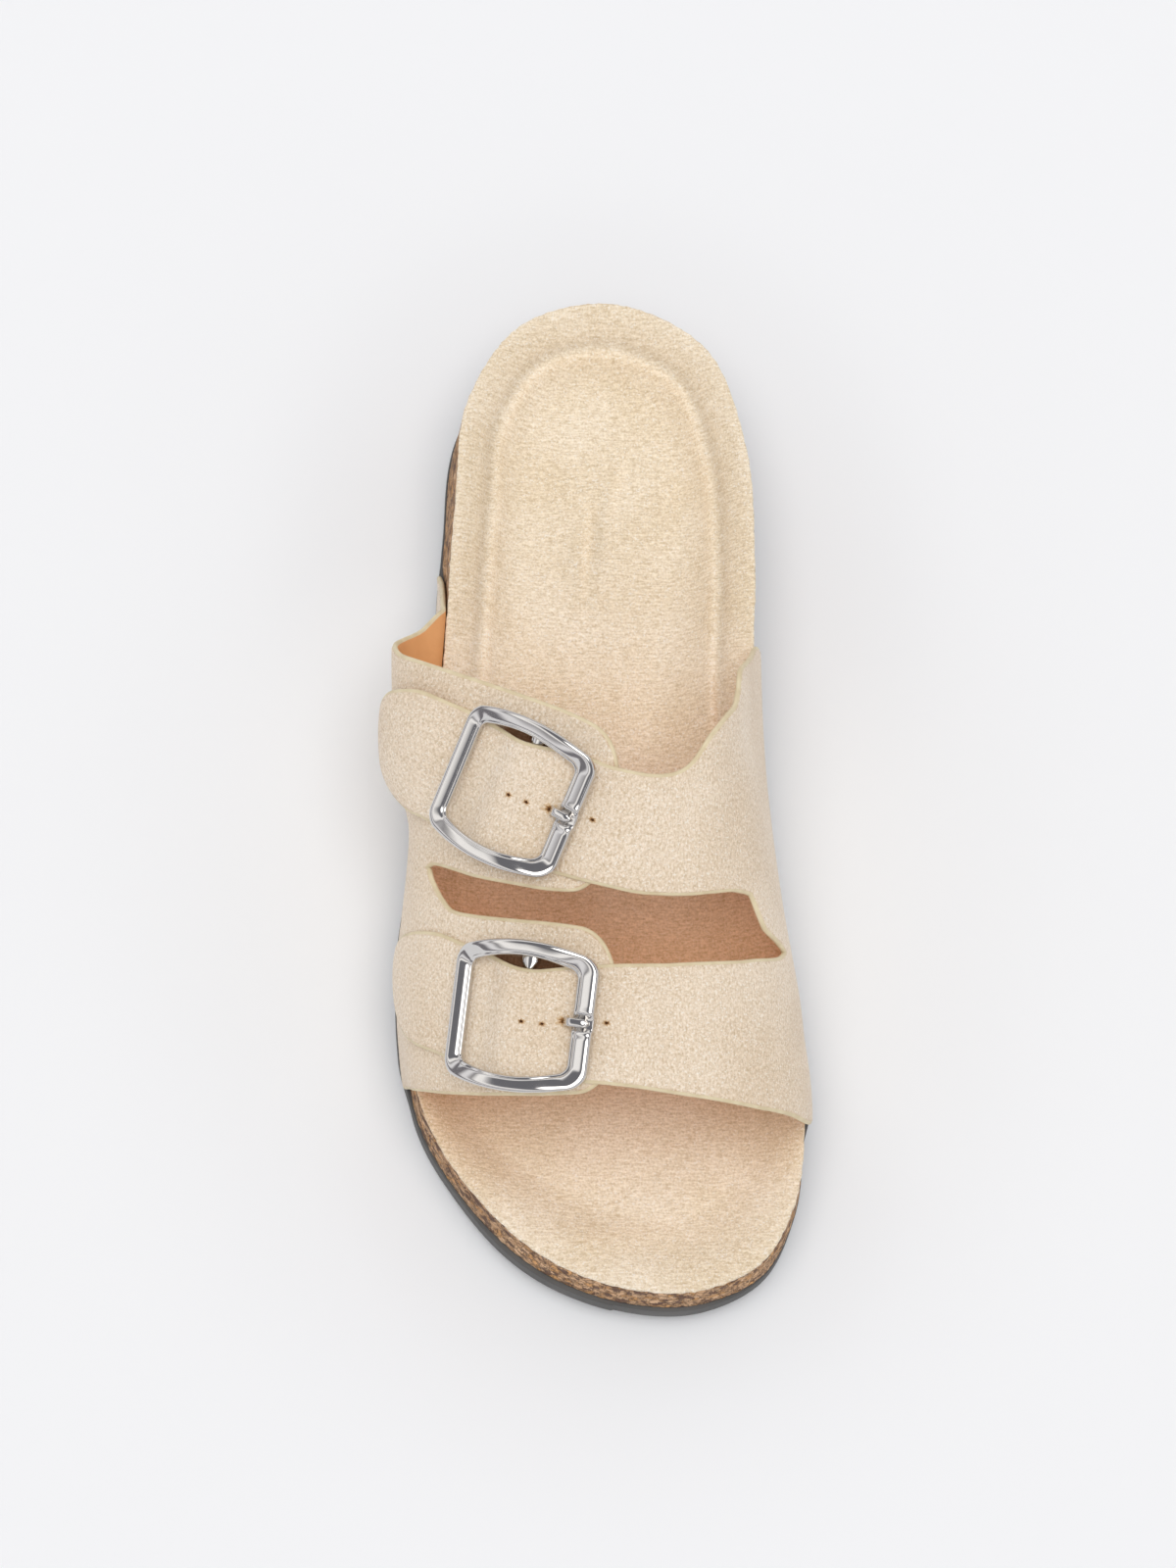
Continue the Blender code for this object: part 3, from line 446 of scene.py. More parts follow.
cork = dict(
    grain=1.9, depth=0.25, light=(0.80, 0.53, 0.325), mid=(0.55, 0.325, 0.18), warm=(0.70, 0.38, 0.16),
    dark=(0.115, 0.068, 0.060), darkness=0.85, warmFrom=(0.74, 0.8, 0.0, 0.85),
    # granules bent out of line, dark patches, and the seams between granules
    sway=(1.5, 1.5, 1.5), swayScale=1.3, swayDetail=3.0, patch=(0.62, 5.0, 0.72), patchFrom=(0.515, 0.56),
    seamFrom=(0.07, 0.01, 0.0, 0.7), rounded=(0.0, 0.2),
)


# cork: granules of ground bark, each its own brown, with dark bark between them and in patches
def corkFinish():
    finish, tree, shader = newFinish("corkGrain", Roughness=0.88, Specular_IOR_Level=0.2)
    even = put(tree, "Mapping", Vector=onPiece(tree), Scale=(metre / cork["grain"],) * 3).outputs[0]
    sway = put(tree, "TexNoise", Vector=even, Scale=cork["swayScale"], Detail=cork["swayDetail"])
    bent = calc(tree, "MULTIPLY_ADD", sway.outputs["Color"], cork["sway"], even, kind="VectorMath")[0]
    cells = put(tree, "TexVoronoi", Vector=bent, Scale=1.0).outputs["Color"]
    seams = put(tree, "TexVoronoi", dict(feature="DISTANCE_TO_EDGE"), Vector=bent, Scale=1.0).outputs[0]
    pick = put(tree, "SeparateColor", Color=cells).outputs
    patch = spread(tree, noise(tree, even, *cork["patch"]), *cork["patchFrom"])
    colour = tint(tree, pick[0], cork["mid"], cork["light"])
    colour = tint(tree, spread(tree, pick[1], *cork["warmFrom"]), colour, cork["warm"])
    bark = calc(tree, "MAXIMUM", patch, spread(tree, seams, *cork["seamFrom"]))[0]
    colour = tint(tree, calc(tree, "MULTIPLY", bark, cork["darkness"])[0], colour, cork["dark"])
    feed(tree, shader.inputs["Base Color"], colour)
    raised = calc(tree, "SUBTRACT", spread(tree, seams, *cork["rounded"]), bark)[0]
    emboss(tree, shader, raised, cork["depth"])
    return finish


nickel = dict(colour=(0.66, 0.645, 0.63), wear=(700.0, 4.0, 0.65), worn=(0.3, 0.75, 0.05, 0.12))


# polished nickel: mirror metal, faintly uneven
def metalFinish():
    finish, tree, shader = newFinish("polishedNickel", Base_Color=nickel["colour"], Metallic=1.0)
    wear = noise(tree, onPiece(tree), *nickel["wear"])
    feed(tree, shader.inputs["Roughness"], spread(tree, wear, *nickel["worn"]))
    return finish


punched = dict(
    lip=(0.66, 0.49, 0.31), tan=(0.33, 0.165, 0.06), dark=(0.06, 0.026, 0.012),
    fray=(2600.0, 3.0), frayed=0.9, tanFrom=(0.15, 0.55), darkFrom=(0.6, 0.85),
)


# punched hole: tan frayed lip, darkening to painted shade in the middle
def holeFinish():
    finish, tree, shader = newFinish("frayedHole", Roughness=0.95, Specular_IOR_Level=0.1)
    fray = calc(tree, "SUBTRACT", noise(tree, onPiece(tree), *punched["fray"]), 0.5)[0]
    uneven = calc(tree, "MULTIPLY", fray, punched["frayed"])[0]
    mixed = calc(tree, "ADD", shadeOf(tree, "deep"), uneven)[0]
    colour = tint(tree, spread(tree, mixed, *punched["tanFrom"]), punched["lip"], punched["tan"])
    # painted shade: near black in the hole's middle
    colour = tint(tree, spread(tree, mixed, *punched["darkFrom"]), colour, punched["dark"])
    feed(tree, shader.inputs["Base Color"], colour)
    return finish


insoleVelour = insoleFinish()
strapVelour = strapFinish()
edgePaint, tanLining, soleRubber = (plainFinish(name) for name in plain)
corkGrain = corkFinish()
polishedNickel = metalFinish()
frayedHole = holeFinish()
print("finishes ready")

# Outsole: rings from the middle of the underside round the edge to the middle of the top
outsole = dict(
    rows=400, underRings=50, edge=1.0, edgeTurns=(0.4, 0.8, 1.2, math.pi / 2),
    topEdge=0.5, topTurns=(0.5, 1.0), beadLow=0.75, topFolds=(0.0, 0.06, 0.3, 1.0),
    border=5.0, borderFade=1.2, rib=6.4, ribDepth=0.9, ribWave=2.6, waveLength=19.0, groove=(0.15, 0.75),
)


# sole: outline pushed out by the step and the cork's lean, edges turned over quarter circles
def makeOutsole():
    rim, normal, spine = soleOutline(outsole["rows"])
    lean, step = soleSide(rim[:, 1], rim[:, 0] < spine[:, 0])
    reach = step + lean * (rim[:, 2] - soleTop(rim[:, 1]))

    # tread: wavy bars across the sole, a smoothed sine of y plus a sine of x, inside a plain border
    def under(fold):
        edge = rim[:, :2] + normal * (reach - outsole["edge"])[:, None]
        flat = edge + (spine - edge) * fold
        inside = np.linalg.norm(flat - edge, axis=1)
        wave = flat[:, 1] + outsole["ribWave"] * np.sin(flat[:, 0] * 2 * math.pi / outsole["waveLength"])
        groove = smooth(*outsole["groove"], np.sin(wave * 2 * math.pi / outsole["rib"]))
        ribbed = smooth(outsole["border"], outsole["border"] + outsole["borderFade"], inside)
        return np.column_stack([flat, soleUnder(flat[:, 1]) + outsole["ribDepth"] * groove * ribbed])

    # side: in from the reach by inset, and up from the underside or from the top
    def side(inset, up, fromTop):
        flat = rim[:, :2] + normal * (reach - inset)[:, None]
        base = soleTop(flat[:, 1]) if fromTop else soleUnder(flat[:, 1])
        return np.column_stack([flat, base + up])

    def top(fold):
        edge = rim[:, :2] + normal * (reach - outsole["topEdge"])[:, None]
        flat = edge + (spine - edge) * fold
        return np.column_stack([flat, soleTop(flat[:, 1])])

    r, t = outsole["edge"], outsole["topEdge"]
    rings = [under(fold) for fold in np.linspace(1.0, 0.0, outsole["underRings"])]
    rings += [side(r * (1 - math.sin(a)), r * (1 - math.cos(a)), False) for a in outsole["edgeTurns"]]
    rings += [side(0.0, -outsole["beadLow"], True), side(0.0, -t, True)]
    rings += [side(t * (1 - math.cos(a)), t * (math.sin(a) - 1), True) for a in outsole["topTurns"]]
    rings += [top(fold) for fold in outsole["topFolds"]]
    addRings("soleTread", rings, soleRubber, "outsole")


makeOutsole()

# Foot bed: the cork and its cover share one outline
footbed = dict(
    rows=230, sideRings=12, bedRings=14, under=(1.0, 0.4), cover=1.2, coverGap=0.12,
    # uneven cork side: depth, then two waves as pitch and turn over the height
    wobble=0.07, wobbleWaves=((2.3, 9.0), (0.71, -5.0)),
    # cover: folds of its underside, start and crowding of its rings, and its rounded edge
    coverRings=72, coverUnder=(1.0, 0.7, 0.45, 0.25, 0.1), coverStart=0.014, coverCrowd=1.15,
    edgeRound=0.5, edgeTurns=(0.5, 1.0), edgeIn=0.25, edgeUp=0.2,
    # cut edge: depth of the fray, reach past the rim, pitches of its waves
    fray=0.13, overhang=0.1, frayWaves=(3.1, 1.27, 5.3),
    # shade under the straps: middle and width along y; least away from the outer wall, full beside it
    shaded=(-49.0, 31.0), least=0.72, deeper=(-12.0, -38.0),
)
# moulded line along the rim with a swell inside it, ending under the straps
bedDetail = dict(
    lineIn=7.8, lineInHeel=8.4, heelFrom=(92.0, 122.0), lineDepth=0.75, lineWidth=1.3,
    swell=0.75, swellIn=2.5, swellWidth=1.3, lineEnd=(-32.0, -4.0),
    # soft folds in the cover: x, y, half length, half width, height, lean in degrees
    folds=[
        (-3.2, 62.0, 12.0, 0.9, 0.75, 3.0), (0.2, 66.0, 12.0, 1.5, -0.6, 6.0),
        (4.6, 80.0, 9.0, 1.3, 0.4, 12.0), (-6.6, 60.0, 11.0, 2.0, -0.3, -3.0),
        (16.0, -96.0, 16.0, 5.0, -0.25, 70.0), (8.0, -110.0, 20.0, 3.6, 0.45, 84.0),
    ],
)
bedRim, bedNormal, bedSpine = soleOutline(footbed["rows"])
bedOuter = bedRim[:, 0] < bedSpine[:, 0]
bedReach = np.linalg.norm(bedSpine - bedRim[:, :2], axis=1)
bedSteps = np.linalg.norm(np.diff(bedRim[:, :2], axis=0, append=bedRim[:1, :2]), axis=1)
bedAround = np.concatenate([[0.0], np.cumsum(bedSteps)[:-1]])   # arc length round the outline


# bed plus a share of the rim's rise that falls smoothly over the slope's width
def bedHeight(flat, distance):
    bed, outerWidth, innerWidth = readTable(shoe["bed"], flat[:, 1])
    slope = 1.0 - smooth(0.0, 1.0, distance / np.where(bedOuter, outerWidth, innerWidth))
    return bed + (bedRim[:, 2] - bed) * slope


# small relief: a groove and a swell that follow the rim, and bells drawn out along each fold
def bedRelief(flat, distance):
    d = bedDetail
    behind = smooth(*d["lineEnd"], flat[:, 1])
    lineIn = d["lineIn"] + (d["lineInHeel"] - d["lineIn"]) * smooth(*d["heelFrom"], flat[:, 1])
    relief = -d["lineDepth"] * behind * bell(distance, lineIn, d["lineWidth"])
    relief += d["swell"] * behind * bell(distance, lineIn + d["swellIn"], d["swellWidth"])
    for x, y, length, width, height, lean in d["folds"]:
        turn = math.radians(lean)
        along = (flat[:, 0] - x) * math.sin(turn) + (flat[:, 1] - y) * math.cos(turn)
        across = (flat[:, 0] - x) * math.cos(turn) - (flat[:, 1] - y) * math.sin(turn)
        relief += height * bell(along, 0.0, length) * bell(across, 0.0, width)
    return relief


# ring a share of the way from the rim to the middle line, on the bed or a drop below it
def bedRing(share, drop, pressed=False):
    flat = bedRim[:, :2] + (bedSpine - bedRim[:, :2]) * share
    z = bedHeight(flat, share * bedReach) - drop
    if pressed:
        z = z + bedRelief(flat, share * bedReach)
    return np.column_stack([flat, z])


# cork body: flat underneath, side leaning out towards the floor, top hollowed like the bed
def makeCork():
    foot = soleTop(bedRim[:, 1]) + shoe["gap"]
    drop = footbed["cover"] + footbed["coverGap"]
    topZ = bedRim[:, 2] - drop

    # side: lean times the depth below the rim, plus a product of two waves
    def side(share):
        z = foot + (topZ - foot) * share
        lean = soleSide(bedRim[:, 1], bedOuter)[0] * (bedRim[:, 2] - z)
        fine, slow = (np.sin(bedAround * pitch + turn * share) for pitch, turn in footbed["wobbleWaves"])
        out = lean + footbed["wobble"] * fine * slow
        return np.column_stack([bedRim[:, :2] + bedNormal * out[:, None], z])

    def bottom(fold):
        edge = side(0.0)[:, :2]
        flat = edge + (bedSpine - edge) * fold
        return np.column_stack([flat, soleTop(flat[:, 1]) + shoe["gap"]])

    rings = [bottom(fold) for fold in footbed["under"]]
    rings += [side(share) for share in np.linspace(0.0, 1.0, footbed["sideRings"])]
    rings += [bedRing(share, drop) for share in np.linspace(0.0, 1.0, footbed["bedRings"])[1:]]
    addRings("corkBody", rings, corkGrain, "cork_footbed")


# cover of the bed: underside, a frayed cut edge rounded over, then the bed with its relief
def makeInsole():
    fine, slow, quick = (bedAround * pitch for pitch in footbed["frayWaves"])
    fray = footbed["fray"] * (np.sin(fine) * np.sin(slow + 1.0) + 0.5 * np.sin(quick + 2.0))

    def edge(inset, drop, ragged):
        flat = bedRim[:, :2] + bedNormal * ((fray + footbed["overhang"]) * ragged - inset)[:, None]
        return np.column_stack([flat, bedRim[:, 2] - drop])

    r, cover, first = footbed["edgeRound"], footbed["cover"], footbed["coverStart"]
    rings = [bedRing(share, cover) for share in footbed["coverUnder"]]
    rings += [edge(footbed["edgeIn"], cover, 0.5), edge(0.0, cover - footbed["edgeUp"], 1.0)]
    rings += [edge(0.0, r, 1.0)]
    rings += [edge(r * (1 - math.cos(a)), r * (1 - math.sin(a)), 1.0 - a / 2) for a in footbed["edgeTurns"]]
    below = len(rings) * len(bedRim)
    shares = first + (1.0 - first) * np.linspace(0.0, 1.0, footbed["coverRings"]) ** footbed["coverCrowd"]
    rings += [bedRing(share, 0.0, True) for share in shares]
    verts = np.concatenate(rings)
    relief = np.zeros(len(verts))
    relief[below:] = bedRelief(verts[below:, :2], (shares[:, None] * bedReach).ravel())
    deeper = footbed["least"] + (1.0 - footbed["least"]) * smooth(*footbed["deeper"], verts[:, 0])
    shades = dict(shaded=bell(verts[:, 1], *footbed["shaded"]) * deeper, relief=relief)
    addRings("insoleCover", rings, insoleVelour, "insole", shades)


makeCork()
makeInsole()

# Upper: two quarters, each of two strips that share the part below their join
upper = dict(
    step=0.0125, columns=34, rimPoints=7, inset=0.8, insetEase=0.03, girthLength=88.0,
    tipPower=2.4, tipBlend=2.6,                         # roundness of the ends, and how far back it is felt
    lift=3.0, liftRise=(-10.0, -2.0), liftFall=(5.0, 14.5), landStart=0.01, landing=0.12, sink=0.06,
    tipCurl=(17.8, 29.0), drawWidth=0.085, drawPast=0.015,
    rollWidth=0.7, rollOuter=0.22, rollLining=0.12,     # faces drawn together near the edge
    # painted shade on a tab inside a buckle: where it fades along and across the strap, and the height it
    # stops at
    shadeAlong=(9.5, 13.5), shadeAcross=(14.2, 15.6), shadeHigh=12.0,
)
# buckles: place on the outer tab, heading, and the ends of the tab and of the strap as girth and round length
buckles = dict(
    rear=dict(y=-16.9, girth=0.694, heading=24.0, tab=(0.919, 0.081), tip=(0.337, 0.105), tipLift=1.7,
              drawIn=2.3),
    front=dict(y=-67.5, girth=0.747, heading=6.7, tab=(0.955, 0.09), tip=(0.25, 0.115), tipLift=0.3,
               drawIn=1.5),
)
outerQuarter = dict(
    join=0.42, foot=0.0, end="tab",
    # girth, then y of the rear edge, the slot's two edges and the front edge
    edges=[
        (0.0, 61.5, -24.0, -24.0, -71.0), (0.2, 42.5, -26.0, -26.0, -75.2),
        (0.24, 35.2, -26.4, -26.4, -76.2), (0.29, 30.8, -26.8, -26.8, -77.4),
        (0.36, 26.2, -27.3, -27.3, -79.0), (0.42, 21.8, -27.7, -27.7, -80.4),
        (0.45, 20.1, -28.2, -31.3, -81.1), (0.49, 17.9, -29.6, -36.0, -81.9),
        (0.535, 15.3, -31.5, -40.1, -82.7), (0.6, 11.4, -34.2, -42.4, -83.8),
        (0.7, 5.2, -37.4, -44.8, -85.0), (0.8, -1.0, -40.0, -46.7, -85.8), (0.96, -12.0, -41.7, -50.0, -86.0),
    ],
    # pressed folds: girth, y, half length and half width in mm, depth, lean in degrees
    folds=[(0.30, 8.0, 16.0, 5.0, -0.5, 20.0), (0.24, -52.0, 14.0, 6.0, -0.4, -10.0)],
)
innerQuarter = dict(
    join=1.61, foot=2.0, end="tip",
    edges=[
        (0.25, 15.3, -5.0, -41.3, -58.5), (0.3, 15.0, -8.0, -41.5, -62.5), (0.4, 13.6, -14.4, -42.5, -68.6),
        (0.5, 11.2, -21.3, -44.7, -72.9), (0.6, 4.7, -27.5, -49.2, -78.4), (0.7, -2.2, -32.2, -53.4, -81.6),
        (0.8, -8.4, -36.1, -56.0, -83.0), (0.9, -13.4, -39.4, -56.7, -83.7),
        (1.0, -15.1, -41.6, -56.6, -84.9), (1.05, -14.6, -41.7, -56.5, -85.5),
        (1.1, -12.8, -41.5, -56.1, -86.0), (1.2, -5.0, -40.2, -55.1, -86.6), (1.3, 1.0, -38.7, -53.8, -87.0),
        (1.37, 4.6, -38.4, -52.5, -87.1), (1.42, 9.8, -42.8, -51.6, -86.9), (1.45, 14.6, -45.2, -51.1, -86.8),
        (1.53, 18.6, -46.2, -49.3, -86.5), (1.61, 22.5, -46.8, -46.8, -86.3),
        (1.8, 31.5, -46.0, -46.0, -83.4), (2.0, 27.0, -44.0, -44.0, -78.0),
    ],
    folds=[
        (1.50, 2.0, 11.0, 4.5, -0.6, 35.0), (1.30, -20.0, 16.0, 6.0, -0.35, 80.0),
        (1.62, -66.0, 15.0, 6.0, -0.45, 15.0),
    ],
)


# buckle's origin on the tab and its directions: along the strap, across it and outward
def buckleAxes(buckle):
    y, girth = np.array(buckle["y"]), np.array(buckle["girth"])
    outward = lastNormal(y, girth)
    turn = math.radians(buckle["heading"])
    flat = np.array([math.sin(turn), math.cos(turn), 0.0])
    across = unit(flat - (0.0, 0.0, (flat @ outward) / outward[2]))
    return lastSurface(y, girth) + shoe["wall"] * outward, np.cross(across, outward), across, outward


# height of the strap's underside over the last: off the tab at its end, lifted by the centre bar, then down
def strapRise(y, girth, buckle):
    origin, along, across, outward = buckleAxes(buckle)
    s = (lastSurface(y, girth) - origin) @ along
    lift = upper["lift"] * smooth(*upper["liftRise"], s) * (1.0 - smooth(*upper["liftFall"], s))
    landing = buckle["tab"][0] + upper["landStart"]
    overTab = 1.0 - smooth(landing, landing + upper["landing"], girth)
    curl = buckle["tipLift"] * smooth(*upper["tipCurl"], -s)
    return (shoe["wall"] - upper["sink"] + lift + curl) * overTab


# one strip as a grid of y and girth: rows from the free end to the foot, the end rows bent into a round tip
def stripGrid(quarter, key):
    join, foot, buckle = quarter["join"], quarter["foot"], buckles[key]
    free, roundLength = buckle[quarter["end"]]
    way = math.copysign(1.0, join - free)
    free += way * upper["inset"] / upper["girthLength"]
    first = np.linspace(free, join, int(abs(join - free) / upper["step"]) + 2)
    last = np.linspace(join, foot, int(abs(foot - join) / upper["step"]) + 2)
    rows = np.concatenate([first, last[1:]])[:, None]
    b = np.sin(np.linspace(1.0, -1.0, upper["columns"] + 1) * math.pi / 2)[None, :]
    arc = roundLength * (1.0 - (1.0 - np.abs(b) ** upper["tipPower"]) ** (1.0 / upper["tipPower"]))
    girth = rows + way * arc * (1.0 - smooth(0.0, upper["tipBlend"] * roundLength, np.abs(rows - free)))
    rear, slotRear, slotFront, front = readTable(quarter["edges"], girth)
    away = upper["inset"] * smooth(0.0, upper["insetEase"], (join - girth) * way)
    shared = np.arange(len(rows))[:, None] >= len(first) - 1
    seam = (slotRear + slotFront) / 2
    if quarter["end"] == "tip":     # the strap's rear edge draws in where the centre bar lifts it
        drawn = buckle["drawIn"] * bell(girth, buckle["girth"] + upper["drawPast"], upper["drawWidth"])
        rear, slotFront = rear - drawn, slotFront - drawn
    if key == "rear":
        top, low = rear - upper["inset"], np.where(shared, seam, slotRear + away)
    else:
        top, low = np.where(shared, seam, slotFront - away), front + upper["inset"]
    return (top + low) / 2 + (top - low) / 2 * b, girth, len(first) - 1


# folds pressed into a quarter: bells drawn out along each fold
def foldRelief(quarter, y, girth):
    relief = np.zeros_like(y)
    for atGirth, atY, length, width, depth, lean in quarter["folds"]:
        u, v = (girth - atGirth) * upper["girthLength"], y - atY
        turn = math.radians(lean)
        along, across = u * math.cos(turn) + v * math.sin(turn), v * math.cos(turn) - u * math.sin(turn)
        relief += depth * bell(along, 0.0, length) * bell(across, 0.0, width)
    return relief


# painted shade under a buckle's frame: 1 on the part of a tab that lies inside a buckle, falling to 0 below
# its bars
def underBuckles(points):
    shade = np.zeros(len(points))
    for buckle in buckles.values():
        origin, *axes = buckleAxes(buckle)
        s, w, h = (np.abs((points - origin) @ axis) for axis in axes)
        inside = (1.0 - smooth(*upper["shadeAlong"], s)) * (1.0 - smooth(*upper["shadeAcross"], w))
        shade = np.maximum(shade, inside * (h < upper["shadeHigh"]))
    return shade


# both strips of a quarter as one net: its points' y, girth and rise, its quads, and its outline's loop
def quarterNet(quarter):
    grids = {key: stripGrid(quarter, key) for key in buckles}
    ids, rises, start = {}, [], 0
    for key, (y, girth, _) in grids.items():
        rise = strapRise(y, girth, buckles[key]) if quarter["end"] == "tip" else 0.0
        rises.append((rise + foldRelief(quarter, y, girth)).ravel())
        ids[key] = np.arange(y.size).reshape(y.shape) + start
        start += y.size
    y, girth = (np.concatenate([grid[k].ravel() for grid in grids.values()]) for k in (0, 1))
    rear, front = ids["rear"], ids["front"]
    joinRear, joinFront = grids["rear"][2], grids["front"][2]
    front[joinFront:, 0] = rear[joinRear:, -1]
    loop = np.concatenate([
        rear[::-1, 0], rear[0, 1:], rear[1:joinRear + 1, -1], front[:joinFront, 0][::-1],
        front[0, 1:], front[1:, -1], front[-1, ::-1][1:], rear[-1, ::-1][1:-1]])
    used = np.unique(np.concatenate([rear.ravel(), front.ravel()]))
    number = np.zeros(start, np.int64)
    number[used] = np.arange(len(used))
    nets = (number[rear], number[front])
    corners = [np.stack([n[:-1, :-1], n[:-1, 1:], n[1:, 1:], n[1:, :-1]], -1).reshape(-1, 4) for n in nets]
    return y[used], girth[used], np.concatenate(rises)[used], np.concatenate(corners), number[loop]


# a quarter with a real wall: outer face, lining, and a half-round edge swept round the whole outline
def makeQuarter(name, quarter, nodes):
    y, girth, rise, quads, loop = quarterNet(quarter)
    base, normal, wall = lastSurface(y, girth), lastNormal(y, girth), shoe["wall"]
    middle = base + (rise + wall / 2)[:, None] * normal
    edgeLine, edgeNormal = middle[loop], normal[loop]
    apart = np.linalg.norm(middle[:, None, :] - edgeLine[None, ::2, :], axis=2).min(1)
    apart[loop] = 0.0
    rolled = np.exp(-apart / upper["rollWidth"])
    outer = base + (rise + wall - upper["rollOuter"] * rolled)[:, None] * normal
    lining = base + (rise + upper["rollLining"] * rolled)[:, None] * normal
    aside = unit(np.cross(np.roll(edgeLine, -1, 0) - np.roll(edgeLine, 1, 0), edgeNormal))
    aside *= np.sign(aside[np.argmax(edgeLine[:, 1]), 1])   # outwards at the rearmost point, so all round
    turn = np.linspace(math.pi / 2, -math.pi / 2, upper["rimPoints"])[1:-1]
    ends = (outer[loop] + lining[loop]) / 2
    half = np.linalg.norm(outer[loop] - lining[loop], axis=1)[:, None] / 2
    rim = [ends + half * (math.sin(a) * edgeNormal) + upper["inset"] * math.cos(a) * aside for a in turn]
    count, around = len(y), len(loop)
    verts = np.concatenate([outer, lining] + rim)
    between = [2 * count + k * around + np.arange(around) for k in range(len(rim))]
    rings = np.vstack([loop, *between, loop + count])
    ahead = np.roll(rings, -1, 1)
    band = np.stack([rings[:-1], rings[1:], ahead[1:], ahead[:-1]], -1).reshape(-1, 4)
    # a shared edge runs one way in the outer face and the other way in the band
    faceEdges = np.concatenate([quads[:, [k, (k + 1) % 4]] for k in range(4)])
    if not np.any((faceEdges[:, 0] == loop[0]) & (faceEdges[:, 1] == loop[1])):
        band = band[:, ::-1]
    allQuads = np.concatenate([quads, quads[:, ::-1] + count, band])
    finishOf = np.repeat([0, 1, 2], [len(quads), len(quads), len(band)])
    flatUv = np.column_stack([y, girth * upper["girthLength"]])
    uv = np.concatenate([flatUv, flatUv] + [flatUv[loop]] * len(rim))
    edge = np.concatenate([apart, apart, np.zeros(around * len(rim))])
    # painted shade on the outer tab inside each buckle
    shaded = underBuckles(verts) if quarter["end"] == "tab" else np.zeros(len(verts))
    addPiece(name, verts, allQuads, [strapVelour, tanLining, edgePaint], nodes,
             finishOf=finishOf, uv=uv, shades=dict(edge=edge, shaded=shaded))


makeQuarter("outerQuarter", outerQuarter, ["upper"])
makeQuarter("innerQuarter", innerQuarter, ["upper"])

# Buckles, in their own directions: s along the strap, w across it, h away from the tab
metal = dict(
    length=35.6, width=29.0, bow=3.2, arch=3.0, thick=2.2, outerBar=4.1, innerBar=5.0, sideBar=3.0,
    outerCorner=3.2, innerCorner=1.5, cornerPoints=14, sidePoints=44, barPoints=40,
    # section: share of the bar's width in from the outline, height in half thicknesses; an outer ridge,
    # a full slope falling inwards, and a thin lip round the opening
    section=[
        (0.5, -1.0), (0.14, -1.0), (0.05, -0.84), (0.0, -0.5), (0.0, 0.3), (0.015, 0.52), (0.05, 0.72),
        (0.10, 0.86), (0.16, 0.95), (0.22, 0.99), (0.27, 1.0), (0.33, 0.985), (0.39, 0.965), (0.47, 0.935),
        (0.55, 0.90), (0.63, 0.86), (0.70, 0.815), (0.75, 0.76), (0.785, 0.69), (0.80, 0.62), (0.82, 0.585),
        (0.85, 0.60), (0.89, 0.61), (0.93, 0.58), (0.97, 0.49), (0.995, 0.34), (1.0, 0.15), (1.0, -0.5),
        (0.95, -0.84), (0.86, -1.0),
    ],
    # notch for the prong: eased edges, cheeks raised beside it, and where on the bar and on its top it starts
    notchWidth=3.2, notchDepth=0.9, notchEase=(0.35, 0.55), cheekOut=1.0, cheekWidth=0.5, cheekHeight=0.2,
    notchOnBar=(-0.5, 0.1), notchOnTop=(0.05, 0.35), notchAbove=0.1,
    barThick=1.4, barPath=80, barSides=16, bendPoints=6, postInset=1.1, lugWidth=4.0, lugFrom=(9.6, 13.2),
    # prong: how far up it is at each s between the strap's hole and the notch
    hole=(8.0, 13.0), prongWidth=2.4, prongThick=1.1, prongStart=2.2, prongInset=1.3, prongDip=0.12,
    prongRise=((9.4, 0.25), (11.6, 0.85), (12.4, 1.0)), prongPath=48, prongSides=20, prongPower=0.7,
    taper=0.2, tipNarrow=(0.5, 0.9), tipThin=(0.35, 1.5),   # share lost, and over which length
    cap=((0.8, 0.12), (0.45, 0.2), (0.0, 0.22)),            # end rings: share of the size, distance out
    searchY=(30.0, 121), searchGirth=(1.1, 161),            # grid for the heights under a buckle
)


# points of the shoe from a buckle's own directions
def place(axes, s, w, h):
    s, w, h = (np.asarray(v, float)[..., None] for v in np.broadcast_arrays(s, w, h))
    return axes[0] + s * axes[1] + w * axes[2] + h * axes[3]


# greatest height of the tab, or of the strap on it, under a patch of the buckle
def patchHeight(buckle, sRange, halfWidth, strap):
    axes = buckleAxes(buckle)
    (reach, rows), (end, columns) = metal["searchY"], metal["searchGirth"]
    y, girth = np.meshgrid(buckle["y"] + np.linspace(-reach, reach, rows),
                           np.linspace(buckle["tip"][0], end, columns))
    height = shoe["wall"] + (strapRise(y, girth, buckle) if strap else np.zeros_like(y))
    away = lastSurface(y, girth) + height[..., None] * lastNormal(y, girth) - axes[0]
    s, w, h = (away @ axis for axis in axes[1:])
    return h[(s > sRange[0]) & (s < sRange[1]) & (np.abs(w) < halfWidth)].max()


# heights of the frame's two end bars, of its sides and of its centre bar
def frameLevels(buckle):
    half, patch = metal["length"] / 2, metal["width"] / 2
    seats = np.array([
        patchHeight(buckle, (-half, -half + metal["outerBar"]), patch, True),
        patchHeight(buckle, (half - metal["innerBar"], half), patch, True),
        patchHeight(buckle, (-half / 2, half / 2), patch + metal["bow"], True)])
    bar = patchHeight(buckle, (-metal["barThick"], metal["barThick"]), patch, False)
    return (*(seats + shoe["gap"] + metal["thick"] / 2), bar + shoe["gap"] + metal["barThick"] / 2)


